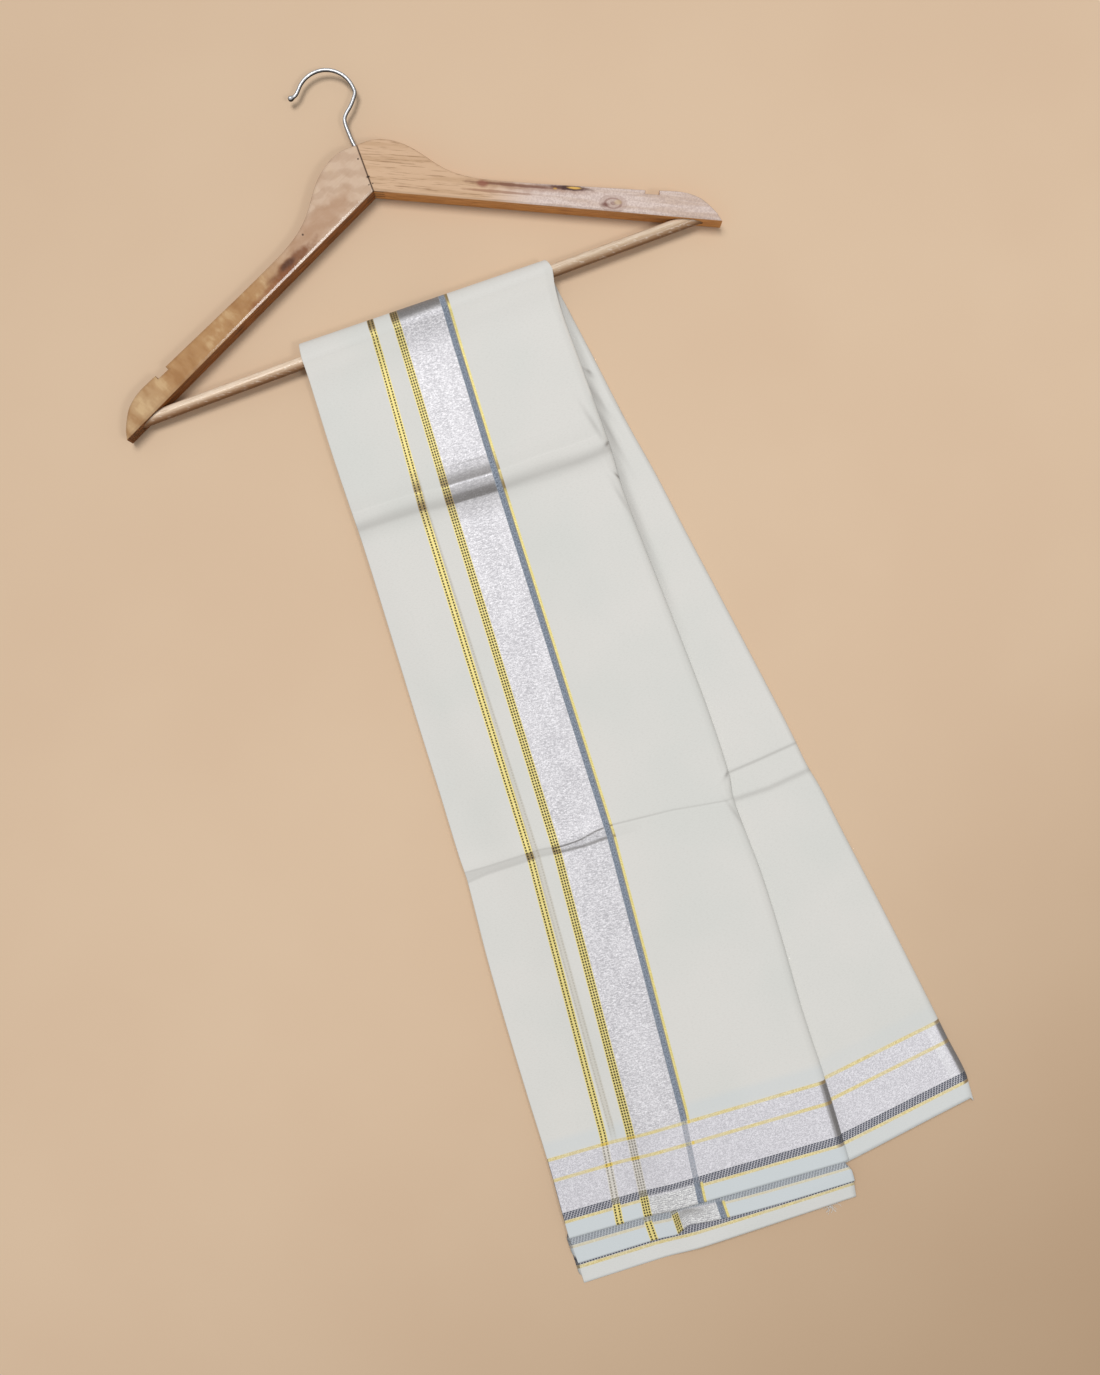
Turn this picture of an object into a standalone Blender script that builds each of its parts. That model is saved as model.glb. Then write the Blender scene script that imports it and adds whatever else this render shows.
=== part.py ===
"""Folded dhoti cloth on a wooden hanger.

A long cotton dhoti is pressed into a flat strip and folded over the round trouser bar of a
two-part wooden hanger, and the whole lies on a flat surface. The front half of the strip lies
on the back half, which is fanned out to the right. Lengths are in metres, and tables whose
names end in _MM are in millimetres. In the working frame the bar's axis is the X axis, +Y
points to the hook and +Z up from the surface. The last step moves the object so that its
origin is the middle of its box's base.
"""
import math

import bmesh
import bpy
from mathutils import Matrix, Vector

MM = 0.001
GAP = 0.3 * MM                 # clearance between neighbouring pieces
WELD = 0.01 * MM
NEAR = 0.1 * MM                # closer than this counts as level
ROUND_SIDES = 28

# Hanger
ARM_THICKNESS = 15.0 * MM
ARM_EDGE_ROUND = 2.5 * MM
ARM_EDGE_STEPS = 2
ARM_TIP = (218.6 * MM, -10.2 * MM)
NECK_TOP_Y = 126.0 * MM
ARM_CROTCH_Y = 92.1 * MM       # where the two lower edges meet
NOTCH_X = 181.0 * MM
NOTCH_Y = 27.2 * MM
NOTCH_WIDTH = 9.5 * MM
NOTCH_DEPTH = 3.6 * MM
NOTCH_TILT = math.radians(-23.8)
BAR_RADIUS = 4.5 * MM
BAR_HALF_LENGTH = 207.5 * MM
MID_Z = ARM_THICKNESS / 2      # height of the bar's axis and of the hook's wire
HOOK_WIRE_RADIUS = 1.3 * MM
HOOK_BEND_RADIUS = 20.4 * MM
HOOK_BEND_CENTRE = (-8.8 * MM, 166.0 * MM)
HOOK_SHANK_X = -0.9 * MM
HOOK_SHANK_FOOT_Y = 101.0 * MM
HOOK_HOLE_LENGTH = 40.0 * MM   # more than the wood above the shank's foot
HOOK_BEND_ANGLES = range(-8, 150, 10)
HOOK_WIRE_ROUNDNESS = 2

# Upper outline of the right arm, from the neck's top to the tip.
ARM_TOP_MM = (
    # x, y
    (9.0, 126.1),
    (17.0, 124.2),
    (24.5, 120.4),
    (31.0, 115.3),
    (36.5, 109.5),
    (41.5, 103.0),
    (46.5, 96.0),
    (52.5, 88.9),
    (61.0, 81.7),
    (71.5, 75.2),
    (84.0, 69.0),
    (109.0, 57.6),
    (135.0, 46.2),
    (173.0, 29.6),
    (190.0, 22.6),
    (198.0, 19.0),
    (204.6, 14.8),
    (210.4, 9.2),
    (215.0, 1.2),
    (217.3, -4.2),
)

# Free stretch of the hook's wire between the neck and the round bend.
HOOK_NECK_MM = (
    # x, y
    (-1.8, 132.0),
    (-2.2, 140.0),
    (-2.2, 145.5),
    (-1.3, 149.2),
    (1.2, 152.2),
    (4.6, 155.0),
    (7.9, 158.4),
)
# The end of the wire turns out of the bend: radius is a share of the wire's own.
HOOK_END_MM = (
    # x, y, radius
    (-27.2, 176.3, 1.0),
    (-29.6, 175.2, 1.0),
    (-30.6, 175.0, 1.35),
    (-31.7, 174.9, 1.5),
    (-32.8, 174.9, 1.3),
    (-33.5, 174.9, 0.7),
)

# Cloth
LAYER = 1.0 * MM               # one sheet of the folded stack, about five thicknesses of cloth
LAYER_STEP = LAYER + GAP
SQUASH = 0.7                   # share of a sheet's thickness that is left under the bar
WRAP_RADIUS = BAR_RADIUS + GAP
LOOSE_LEFT = 4.5 * MM          # how far the fold stands off the bar at its left end
LOOSE_RIGHT = 0.3 * MM
LEAVE_ANGLE = 120              # degrees round the bar where the front half leaves it
TOP_ANGLE = 90
SQUASHED_TO_ANGLE = -76        # up to here the sheets are squashed, and from here they swell
SWELL_ANGLE = 36
LANDING_Y = -34.0 * MM         # where it comes to lie on the back half
LANDING_POWER = 2.35
BACK_UNDER_BAR = 3 * SQUASH * LAYER + 2 * GAP
BACK_THICKNESS = 3.6 * MM
BACK_SWELLS_FROM_Y = -4.0 * MM
EDGE_DROP = 34.0 * MM          # run over which the front half drops off the back half
EDGE_HOLD = 2.5 * MM           # how far past the back half's edge it stays level first
FRONT_TOP_END = 643.0          # where each sheet of the front half ends, in its rows' drop
FRONT_SECOND_END = 662.0
ROLL_FULL_AT = 45.0            # drop where the right-hand fold is fully round
ROLL_RADIUS = 3.1 * MM         # of the rolled edge's middle surface
ROLL_SHORT = 0.95              # its rim stops this share of the way down
ROLL_TUCK = 0.6 * MM           # how far the sheets inside a rolled edge reach past its straight part
TOP_SHEET = 2                  # sheets of the front half, counted up from the lowest
SECOND_SHEET = 1
THIRD_SHEET = 0
FLARES = (0.75, 0.95)          # how far the third and second sheets come out below the first's end
FLARE_GAP = 0.5                # in drop, as is the next
FLARE_RUN = 10.0
CREASE_HEIGHT = 0.8 * MM
CREASE_WIDTH = 3.5             # in drop
LIFTED_END_X = -39.0 * MM      # the second sheet's end stands up here
LIFTED_END_WIDTH = 17.0 * MM
LIFTED_END_HEIGHT = 1.6 * MM
SLOPE_REACH = 1.0 * MM         # run over which the slope of the cloth is taken
NEARLY_FLAT = 0.01             # roundness below which a rolled edge counts as flat

# Front half of the strip. drop is the distance down the strip from the bar.
FRONT_ROWS_MM = (
    # drop, left x, left y, right x, right y
    (0, -86.2, 0.0, 97.0, 0.0),
    (10, -86.8, -10.0, 95.2, -10.0),
    (25, -87.8, -25.0, 94.3, -25.0),
    (60, -89.7, -60.0, 94.2, -61.0),
    (100, -91.0, -98.0, 93.9, -101.5),
    (127, -91.5, -123.0, 93.4, -131.0),
    (155, -92.6, -150.0, 91.4, -160.0),
    (200, -95.2, -196.0, 92.0, -204.5),
    (260, -98.6, -256.0, 93.5, -266.0),
    (315, -101.4, -311.0, 94.2, -322.0),
    (363, -104.1, -359.0, 92.4, -371.0),
    (378, -104.4, -374.5, 89.6, -386.0),
    (395, -105.9, -391.0, 89.3, -403.0),
    (435, -110.0, -430.0, 89.7, -444.0),
    (480, -113.5, -475.0, 87.5, -489.0),
    (535, -116.8, -529.0, 83.5, -543.0),
    (585, -119.4, -579.0, 81.8, -593.0),
    (643, -124.0, -636.0, 78.2, -650.5),
    (662, -124.4, -655.0, 77.3, -666.0),
    (675, -125.4, -669.8, 75.3, -678.2),
)
# Back half, whose right edge swings out from under the front half.
BACK_ROWS_MM = (
    # drop, left x, left y, right x, right y
    (0, -84.0, -0.3, 96.3, -0.3),
    (11, -83.2, -11.0, 96.9, -11.0),
    (30, -81.7, -31.0, 99.7, -29.5),
    (60, -79.4, -62.0, 103.7, -58.5),
    (90, -77.1, -93.5, 107.3, -88.0),
    (120, -74.8, -126.0, 111.1, -117.5),
    (160, -71.8, -168.0, 117.3, -156.5),
    (203, -68.5, -213.0, 122.7, -198.5),
    (283, -62.3, -296.0, 133.4, -277.5),
    (350, -57.3, -363.0, 142.3, -346.0),
    (368, -56.0, -382.5, 144.3, -364.5),
    (387, -55.0, -409.0, 146.2, -383.5),
    (405, -53.2, -428.0, 149.6, -402.0),
    (435, -50.9, -456.0, 153.0, -431.0),
    (500, -45.8, -520.0, 161.2, -496.0),
    (574, -40.3, -592.0, 169.6, -569.0),
    (602, -38.0, -621.0, 172.6, -597.0),
    (628, -35.6, -648.0, 176.0, -623.5),
    (645, -34.0, -667.0, 174.6, -640.4),
)
# Left and right ends of the fold round the bar, by degrees round it: -90 is under it, 90 on top.
WRAP_ROWS_MM = (
    # angle, left x, right x
    (-90, -84.0, 96.3),
    (-45, -84.2, 95.0),
    (0, -84.8, 93.8),
    (45, -85.4, 95.6),
    (90, -86.2, 97.0),
    (120, -86.3, 96.6),
)
WRAP_ANGLES = (-90, -76, -60, -45, -30, -15, 0, 15, 30, 45, 60, 75, 90, 105, 120)
DESCENT_DROPS = (6, 10, 15, 20, 25, 30, 36, 45)
TOP_DROPS = (62, 90, 118, 123, 127, 131, 136, 155, 200, 260, 315, 363, 368, 372,
             376.5, 381, 385, 395, 435, 480, 535, 585, 620, 643)
HIDDEN_DROPS = (62, 90, 127, 155, 200, 260, 315, 363, 378, 386, 395, 435, 480, 535, 585, 620)
SECOND_END_DROPS = (643.5, 648, 653, 658, 662)
THIRD_END_DROPS = (643.5, 648, 653, 658, 662, 668, 675)
BACK_DROPS = (0, 6, 12, 20, 30, 45, 60, 90, 120, 160, 203, 283, 350, 363, 368, 373, 382,
              387, 392, 405, 435, 500, 574, 602, 628, 645)
SEATED_COLUMNS = (0.18, 0.4, 0.6, 0.8, 1.0)     # shares of the width that lies on the back half
DROP_COLUMNS = (1.0, 0.66, 0.33, 0.0)           # shares of the drop beside it
LEAST_COLUMN = 0.8 * MM
BACK_COLUMNS = (0.0, 0.25, 0.5, 0.75, 1.0)
ROLL_STEPS = (22.5, 45, 67.5, 90)
FRONT_CREASES = (127, 372, 381)
BACK_CREASES = (368, 387)
BACK_CREASE_FROM_X = 95.0 * MM
BACK_CREASE_FULL_X = 105.0 * MM

WOOD_COLOUR = (0.62, 0.42, 0.25)
BAR_COLOUR = (0.68, 0.50, 0.32)
WIRE_COLOUR = (0.72, 0.72, 0.74)
CLOTH_COLOUR = (0.70, 0.71, 0.67)

PARTS = "dhoti_on_hanger"
CUTTERS = "cutters"


def clear_scene():
    for old in list(bpy.data.objects):
        bpy.data.objects.remove(old, do_unlink=True)


def new_collection(name):
    made = bpy.data.collections.new(name)
    bpy.context.scene.collection.children.link(made)
    return made


def principled(name, colour, roughness, metallic=0.0):
    material = bpy.data.materials.new(name)
    material.use_nodes = True
    shader = material.node_tree.nodes["Principled BSDF"]
    shader.inputs["Base Color"].default_value = (*colour, 1.0)
    shader.inputs["Roughness"].default_value = roughness
    shader.inputs["Metallic"].default_value = metallic
    return material


def add_object(name, mesh, collection, material=None):
    made = bpy.data.objects.new(name, mesh)
    collection.objects.link(made)
    if material:
        mesh.materials.append(material)
    return made


def as_mesh_object(curve_object, name, collection, material):
    """A welded mesh in the curve's place, because a curve can't be cut."""
    bpy.context.view_layer.update()
    evaluated = curve_object.evaluated_get(bpy.context.evaluated_depsgraph_get())
    mesh = bpy.data.meshes.new_from_object(evaluated)
    work = bmesh.new()
    work.from_mesh(mesh)
    bmesh.ops.remove_doubles(work, verts=work.verts, dist=WELD)
    work.to_mesh(mesh)
    work.free()
    made = add_object(name, mesh, collection, material)
    made.matrix_world = curve_object.matrix_world.copy()
    bpy.data.objects.remove(curve_object, do_unlink=True)
    return made


def smooth_shade(target, angle=35):
    target.data.shade_smooth()
    target.data.set_sharp_from_angle(angle=math.radians(angle))


def smoothstep(value):
    value = min(1.0, max(0.0, value))
    return value * value * (3 - 2 * value)


def mix(low, high, share):
    return low + (high - low) * share


def read_rows(table, key):
    """The table's other columns at key, on a smooth curve through its rows."""
    last = len(table) - 1
    index = 0
    while index < last - 1 and key > table[index + 1][0]:
        index += 1
    before = table[max(index - 1, 0)]
    start = table[index]
    end = table[index + 1]
    after = table[min(index + 2, last)]
    span = end[0] - start[0]
    share = (key - start[0]) / span
    values = []
    for column in range(1, len(start)):
        slope_in = (end[column] - before[column]) / (end[0] - before[0])
        slope_out = (after[column] - start[column]) / (after[0] - start[0])
        step = end[column] - start[column]
        bend = share * (1 - share)
        curved = bend * ((slope_in * span - step) * (1 - share) - (slope_out * span - step) * share)
        values.append(start[column] + step * share + curved)
    return values


# ---------------------------------------------------------------- hanger

def arm_outline(side):
    points = [(side * GAP / 2, ARM_CROTCH_Y), (side * GAP / 2, NECK_TOP_Y)]
    points += [(side * x * MM, y * MM) for x, y in ARM_TOP_MM]
    points.append((side * ARM_TIP[0], ARM_TIP[1]))
    return points


def outline_curve(name, points, thickness, collection):
    curve = bpy.data.curves.new(name, "CURVE")
    curve.dimensions = "2D"
    curve.fill_mode = "BOTH"
    curve.extrude = thickness / 2
    spline = curve.splines.new("POLY")
    spline.points.add(len(points) - 1)
    for point, (x, y) in zip(spline.points, points):
        point.co = (x, y, 0, 1)
    spline.use_cyclic_u = True
    made = bpy.data.objects.new(name, curve)
    collection.objects.link(made)
    return made


def round_long_edges(arm):
    """Rounds the face outlines, but leaves the mitre's edges crisp."""
    mesh = arm.data
    work = bmesh.new()
    work.from_mesh(mesh)
    bmesh.ops.dissolve_limit(work, angle_limit=math.radians(1), verts=work.verts, edges=work.edges)
    work.to_mesh(mesh)
    work.free()
    weights = mesh.attributes.new("bevel_weight_edge", "FLOAT", "EDGE")
    for edge in mesh.edges:
        start, end = (mesh.vertices[index].co for index in edge.vertices)
        level = abs(start.z - end.z) < NEAR
        mitre = abs(start.x) < GAP and abs(end.x) < GAP
        on_face = abs(abs(start.z) - ARM_THICKNESS / 2) < NEAR
        if level and on_face and not mitre:
            weights.data[edge.index].value = 1.0
    bevel = arm.modifiers.new("rounded_edges", "BEVEL")
    bevel.limit_method = "WEIGHT"
    bevel.width = ARM_EDGE_ROUND
    bevel.segments = ARM_EDGE_STEPS
    bevel.use_clamp_overlap = False


def cylinder_cutter(name, radius, length, place, turn, collection):
    bpy.ops.mesh.primitive_cylinder_add(vertices=ROUND_SIDES, radius=radius, depth=length,
                                        location=place, rotation=turn)
    cutter = bpy.context.object
    move_to(cutter, name, collection)
    hide_cutter(cutter)
    return cutter


def move_to(target, name, collection):
    target.name = name
    target.data.name = name
    for holder in list(target.users_collection):
        holder.objects.unlink(target)
    collection.objects.link(target)


def hide_cutter(cutter):
    cutter.hide_render = True
    cutter.display_type = "WIRE"


def notch_cutter(side, collection):
    bpy.ops.mesh.primitive_cube_add(size=1.0)
    cutter = bpy.context.object
    move_to(cutter, "notch_cutter_left" if side < 0 else "notch_cutter_right", collection)
    height = 2 * NOTCH_DEPTH
    cutter.data.transform(Matrix.Diagonal((NOTCH_WIDTH, height, 2 * ARM_THICKNESS, 1.0)))
    cutter.location = (side * NOTCH_X, NOTCH_Y - NOTCH_DEPTH + height / 2, MID_Z)
    cutter.rotation_euler = (0, 0, side * NOTCH_TILT)
    hide_cutter(cutter)
    return cutter


def cut(target, cutter):
    boolean = target.modifiers.new(cutter.name, "BOOLEAN")
    boolean.operation = "DIFFERENCE"
    boolean.object = cutter


def build_arm(side, name, collection, cutters, material):
    curve_object = outline_curve(name + "_outline", arm_outline(side), ARM_THICKNESS, collection)
    curve_object.location = (0, 0, MID_Z)
    arm = as_mesh_object(curve_object, name, collection, material)
    round_long_edges(arm)
    cut(arm, notch_cutter(side, cutters))
    for cutter in (bpy.data.objects["bar_socket_cutter"], bpy.data.objects["hook_hole_cutter"]):
        cut(arm, cutter)
    smooth_shade(arm)
    return arm


def build_bar(collection, material):
    bpy.ops.mesh.primitive_cylinder_add(vertices=ROUND_SIDES, radius=BAR_RADIUS,
                                        depth=2 * BAR_HALF_LENGTH, location=(0, 0, MID_Z),
                                        rotation=(0, math.pi / 2, 0))
    bar = bpy.context.object
    move_to(bar, "hanger_trouser_bar", collection)
    bar.data.materials.append(material)
    smooth_shade(bar)
    return bar


def hook_path():
    """Points of the wire's centre line with the wire's radius at each, from shank to ball."""
    points = [(HOOK_SHANK_X, HOOK_SHANK_FOOT_Y, 1.0), (HOOK_SHANK_X, NECK_TOP_Y, 1.0)]
    points += [(x * MM, y * MM, 1.0) for x, y in HOOK_NECK_MM]
    centre_x, centre_y = HOOK_BEND_CENTRE
    for degrees in HOOK_BEND_ANGLES:
        turn = math.radians(degrees)
        points.append((centre_x + HOOK_BEND_RADIUS * math.cos(turn),
                       centre_y + HOOK_BEND_RADIUS * math.sin(turn), 1.0))
    points += [(x * MM, y * MM, radius) for x, y, radius in HOOK_END_MM]
    return points


def build_hook(collection, material):
    points = hook_path()
    curve = bpy.data.curves.new("hanger_hook", "CURVE")
    curve.dimensions = "3D"
    curve.bevel_depth = HOOK_WIRE_RADIUS
    curve.bevel_resolution = HOOK_WIRE_ROUNDNESS
    curve.use_fill_caps = True
    spline = curve.splines.new("POLY")
    spline.points.add(len(points) - 1)
    for point, (x, y, radius) in zip(spline.points, points):
        point.co = (x, y, MID_Z, 1)
        point.radius = radius
    spline.use_smooth = True
    made = bpy.data.objects.new("hanger_hook", curve)
    collection.objects.link(made)
    curve.materials.append(material)
    return made


def build_hanger(collection, cutters, wood, bar_wood, wire):
    socket_x = BAR_HALF_LENGTH + GAP
    cylinder_cutter("bar_socket_cutter", BAR_RADIUS + GAP, 2 * socket_x,
                    (0, 0, MID_Z), (0, math.pi / 2, 0), cutters)
    hole_middle_y = HOOK_SHANK_FOOT_Y - GAP + HOOK_HOLE_LENGTH / 2
    cylinder_cutter("hook_hole_cutter", HOOK_WIRE_RADIUS + GAP, HOOK_HOLE_LENGTH,
                    (HOOK_SHANK_X, hole_middle_y, MID_Z), (math.pi / 2, 0, 0), cutters)
    build_arm(-1, "hanger_arm_left", collection, cutters, wood)
    build_arm(1, "hanger_arm_right", collection, cutters, wood)
    build_bar(collection, bar_wood)
    build_hook(collection, wire)


# ----------------------------------------------------------------- cloth

def back_top_z(y):
    """Height of the back half's upper side: pressed thin under the bar, full further down."""
    swell = smoothstep((BACK_SWELLS_FROM_Y - y) / (BACK_SWELLS_FROM_Y - LANDING_Y))
    return mix(BACK_UNDER_BAR, BACK_THICKNESS, swell)


def squash_at(y):
    """Share of a sheet's full thickness that is left at y along the back half."""
    swell = smoothstep((BACK_SWELLS_FROM_Y - y) / (BACK_SWELLS_FROM_Y - LANDING_Y))
    return mix(SQUASH, 1.0, swell)


def back_left_x(y):
    """The back half's hidden left edge, a straight line from the bar to the end."""
    first = BACK_ROWS_MM[0]
    last = BACK_ROWS_MM[-1]
    share = (y / MM - first[2]) / (last[2] - first[2])
    return mix(first[1], last[1], share) * MM


def back_end_y(x):
    """The back half's lower end, a straight line from its left corner to its right one."""
    last = BACK_ROWS_MM[-1]
    share = (x / MM - last[1]) / (last[3] - last[1])
    return mix(last[2], last[4], share) * MM


def resting_height(x, y):
    """Height of what the front half lies on: the back half, or the surface beside it."""
    beside = 1 - smoothstep((back_left_x(y) - x - EDGE_HOLD) / EDGE_DROP)
    below = 1 - smoothstep((back_end_y(x) - y - EDGE_HOLD) / EDGE_DROP)
    return (back_top_z(y) + GAP) * beside * below


def leaving_point():
    turn = math.radians(LEAVE_ANGLE)
    return WRAP_RADIUS * math.cos(turn), MID_Z + WRAP_RADIUS * math.sin(turn)


def under_side_height(x, y):
    """Height of the front half's under side, from where it leaves the bar down to its end."""
    leave_y, leave_z = leaving_point()
    rest = resting_height(x, y)
    share = max(0.0, (y - LANDING_Y) / (leave_y - LANDING_Y))
    return rest + (leave_z - rest) * share ** LANDING_POWER


def up_from_under_side(x, y):
    """Direction square to the front half's under side, in the upright plane along the strip."""
    leave_y = leaving_point()[0]
    above = min(y + SLOPE_REACH / 2, leave_y)
    rise = under_side_height(x, above) - under_side_height(x, above - SLOPE_REACH)
    return Vector((0, -rise, SLOPE_REACH)).normalized()


def crease_lift(drop, creases):
    return CREASE_HEIGHT * sum(math.exp(-((drop - crease) / CREASE_WIDTH) ** 2) for crease in creases)


def roll_point(turn, roundness):
    """How far a turn round the rolled edge reaches sideways and falls: flat at roundness 0."""
    if roundness < NEARLY_FLAT:
        return ROLL_RADIUS * turn, 0.0
    along = ROLL_RADIUS * math.sin(turn * roundness) / roundness
    fall = ROLL_RADIUS * ROLL_SHORT * (1 - math.cos(turn * roundness)) / roundness
    return along, fall


def straight_width(left, right, roundness):
    """Width of a rolled sheet up to where its right edge starts to turn down."""
    reach = roll_point(math.pi / 2, roundness)[0]
    return right - left - reach - roundness * LAYER / 2


def rolled_edge(width, roundness):
    """Distance from the left edge and fall of each column of a rolled right edge."""
    columns = []
    for degrees in ROLL_STEPS:
        along, fall = roll_point(math.radians(degrees), roundness)
        columns.append((width + along, fall))
    return columns


def inner_width(left, right, roundness, flare):
    """Width of a sheet that stays inside the rolled edge, or by flare comes out to its line."""
    width = right - left
    if roundness > 0:
        width = mix(straight_width(left, right, roundness) + ROLL_TUCK, width, flare)
    return width


def front_columns(row, width):
    """Distances from the left edge: close together where the sheet drops off the back half."""
    left_x, left_y, right_x, right_y = row
    seated_from = back_left_x(left_y) - left_x
    seated_y = mix(left_y, right_y, seated_from / (right_x - left_x))
    seated_from = back_left_x(seated_y) - left_x
    places = [0.0, (seated_from - EDGE_HOLD - EDGE_DROP) / 2]
    places += [seated_from - EDGE_HOLD - share * EDGE_DROP for share in DROP_COLUMNS]
    for index in range(1, len(places)):
        places[index] = max(places[index], places[index - 1] + LEAST_COLUMN)
    first = places[-1]
    return places + [mix(first, width, share) for share in SEATED_COLUMNS]


def front_row(sheet, drop):
    """One row of a front sheet's middle surface. sheet counts up from the lowest."""
    left_x, left_y, right_x, right_y = (value * MM for value in read_rows(FRONT_ROWS_MM, drop))
    middle = sheet * LAYER_STEP + LAYER / 2
    roundness = smoothstep(drop / ROLL_FULL_AT)
    rolled = sheet == TOP_SHEET
    if rolled:
        width = straight_width(left_x, right_x, roundness)
    else:
        flare = smoothstep((drop - FRONT_TOP_END - FLARE_GAP) / FLARE_RUN)
        width = inner_width(left_x, right_x, roundness, flare * FLARES[sheet])
    columns = [(along, 0.0) for along in front_columns((left_x, left_y, right_x, right_y), width)]
    if rolled:
        columns += rolled_edge(width, roundness)
    row = []
    for along, fall in columns:
        x = left_x + along
        y = mix(left_y, right_y, along / (right_x - left_x))
        up = up_from_under_side(x, y)
        height = middle - fall
        if rolled:
            height += crease_lift(drop, FRONT_CREASES)
        elif sheet == SECOND_SHEET:
            stands_up = smoothstep((drop - FRONT_TOP_END) / (FRONT_SECOND_END - FRONT_TOP_END))
            spread = ((x - LIFTED_END_X) / LIFTED_END_WIDTH) ** 2
            height += LIFTED_END_HEIGHT * stands_up * math.exp(-spread)
        row.append(Vector((x, y, under_side_height(x, y))) + up * height)
    return row


def wrap_row(sheet, angle, columns):
    """One row of a sheet where it goes round the bar, and its squash under the bar."""
    left_x, right_x = (value * MM for value in read_rows(WRAP_ROWS_MM, angle))
    turn = math.radians(angle)
    squash = mix(SQUASH, 1.0, smoothstep((angle - SQUASHED_TO_ANGLE) / SWELL_ANGLE))
    middle = sheet * (LAYER * squash + GAP) + LAYER * squash / 2
    row = []
    for share in columns:
        loose = mix(LOOSE_LEFT, LOOSE_RIGHT, share)
        half_width = WRAP_RADIUS + (loose if angle < TOP_ANGLE else 0.0)
        inner = Vector((0, half_width * math.cos(turn), WRAP_RADIUS * math.sin(turn)))
        out = Vector((0, math.cos(turn) / half_width, math.sin(turn) / WRAP_RADIUS)).normalized()
        x = mix(left_x, right_x, share)
        row.append(Vector((x, 0, MID_Z)) + inner + out * middle)
    return row, squash


def wrap_shares(sheet):
    """Shares across a row round the bar, with the columns of the rows below it."""
    row = [value * MM for value in read_rows(FRONT_ROWS_MM, 0)]
    width = row[2] - row[0]
    if sheet != TOP_SHEET:
        return [along / width for along in front_columns(row, width)]
    straight = straight_width(row[0], row[2], 0.0)
    rolled = [along for along, _ in rolled_edge(straight, 0.0)]
    return [along / width for along in front_columns(row, straight) + rolled]


def sheet_object(name, rows, squashes, thickness, collection, material):
    """A thin closed sheet: an open grid through the rows, made solid on both sides of it."""
    mesh = bpy.data.meshes.new(name)
    width = len(rows[0])
    points = [point for row in rows for point in row]
    faces = []
    for row in range(len(rows) - 1):
        for column in range(width - 1):
            corner = row * width + column
            faces.append((corner, corner + 1, corner + width + 1, corner + width))
    mesh.from_pydata(points, [], faces)
    made = add_object(name, mesh, collection, material)
    weights = made.vertex_groups.new(name="thickness")
    for row, squash in enumerate(squashes):
        weights.add(list(range(row * width, (row + 1) * width)), squash, "REPLACE")
    solidify = made.modifiers.new("cloth_thickness", "SOLIDIFY")
    solidify.thickness = thickness
    solidify.offset = 0.0
    solidify.vertex_group = "thickness"
    smooth_shade(made)
    return made


def build_front_sheet(name, sheet, drops, collection, material):
    shares = wrap_shares(sheet)
    rows = []
    squashes = []
    for angle in WRAP_ANGLES:
        row, squash = wrap_row(sheet, angle, shares)
        rows.append(row)
        squashes.append(squash)
    for drop in DESCENT_DROPS + drops:
        rows.append(front_row(sheet, drop))
        squashes.append(1.0)
    return sheet_object(name, rows, squashes, LAYER, collection, material)


def build_front(collection, cloth):
    build_front_sheet("cloth_front_top", TOP_SHEET, TOP_DROPS, collection, cloth)
    build_front_sheet("cloth_front_second", SECOND_SHEET, HIDDEN_DROPS + SECOND_END_DROPS,
                      collection, cloth)
    build_front_sheet("cloth_front_third", THIRD_SHEET, HIDDEN_DROPS + THIRD_END_DROPS,
                      collection, cloth)


def back_row(drop, top):
    """One row of a back sheet's middle surface, and the share of its thickness there."""
    left_x, left_y, right_x, right_y = (value * MM for value in read_rows(BACK_ROWS_MM, drop))
    roundness = smoothstep(drop / ROLL_FULL_AT)
    squash = squash_at(mix(left_y, right_y, 0.5))
    top_z = back_top_z(mix(left_y, right_y, 0.5))
    if top:
        middle = top_z - LAYER * squash / 2
        width = straight_width(left_x, right_x, roundness)
    else:
        thickness = top_z - LAYER * squash - GAP
        middle = thickness / 2
        squash = thickness / (BACK_THICKNESS - LAYER_STEP)
        width = inner_width(left_x, right_x, roundness, 0.0)
    columns = [(share * width, 0.0) for share in BACK_COLUMNS]
    if top:
        columns += rolled_edge(width, roundness)
    row = []
    for along, fall in columns:
        x = left_x + along
        y = mix(left_y, right_y, along / (right_x - left_x))
        height = middle - fall
        if top:
            shows = smoothstep((x - BACK_CREASE_FROM_X) / (BACK_CREASE_FULL_X - BACK_CREASE_FROM_X))
            height += shows * (1 - fall / middle) * crease_lift(drop, BACK_CREASES)
        row.append(Vector((x, y, height)))
    return row, squash


def build_back(collection, cloth):
    for name, top in (("cloth_back_top", True), ("cloth_back_under", False)):
        rows = []
        squashes = []
        for drop in BACK_DROPS:
            row, squash = back_row(drop, top)
            rows.append(row)
            squashes.append(squash)
        thickness = LAYER if top else BACK_THICKNESS - LAYER_STEP
        sheet_object(name, rows, squashes, thickness, collection, cloth)


# ------------------------------------------------------------- placement

def box_of(objects):
    graph = bpy.context.evaluated_depsgraph_get()
    points = []
    for item in objects:
        evaluated = item.evaluated_get(graph)
        mesh = evaluated.to_mesh()
        points += [evaluated.matrix_world @ vertex.co for vertex in mesh.vertices]
        evaluated.to_mesh_clear()
    low = Vector([min(point[axis] for point in points) for axis in range(3)])
    high = Vector([max(point[axis] for point in points) for axis in range(3)])
    return low, high


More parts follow.
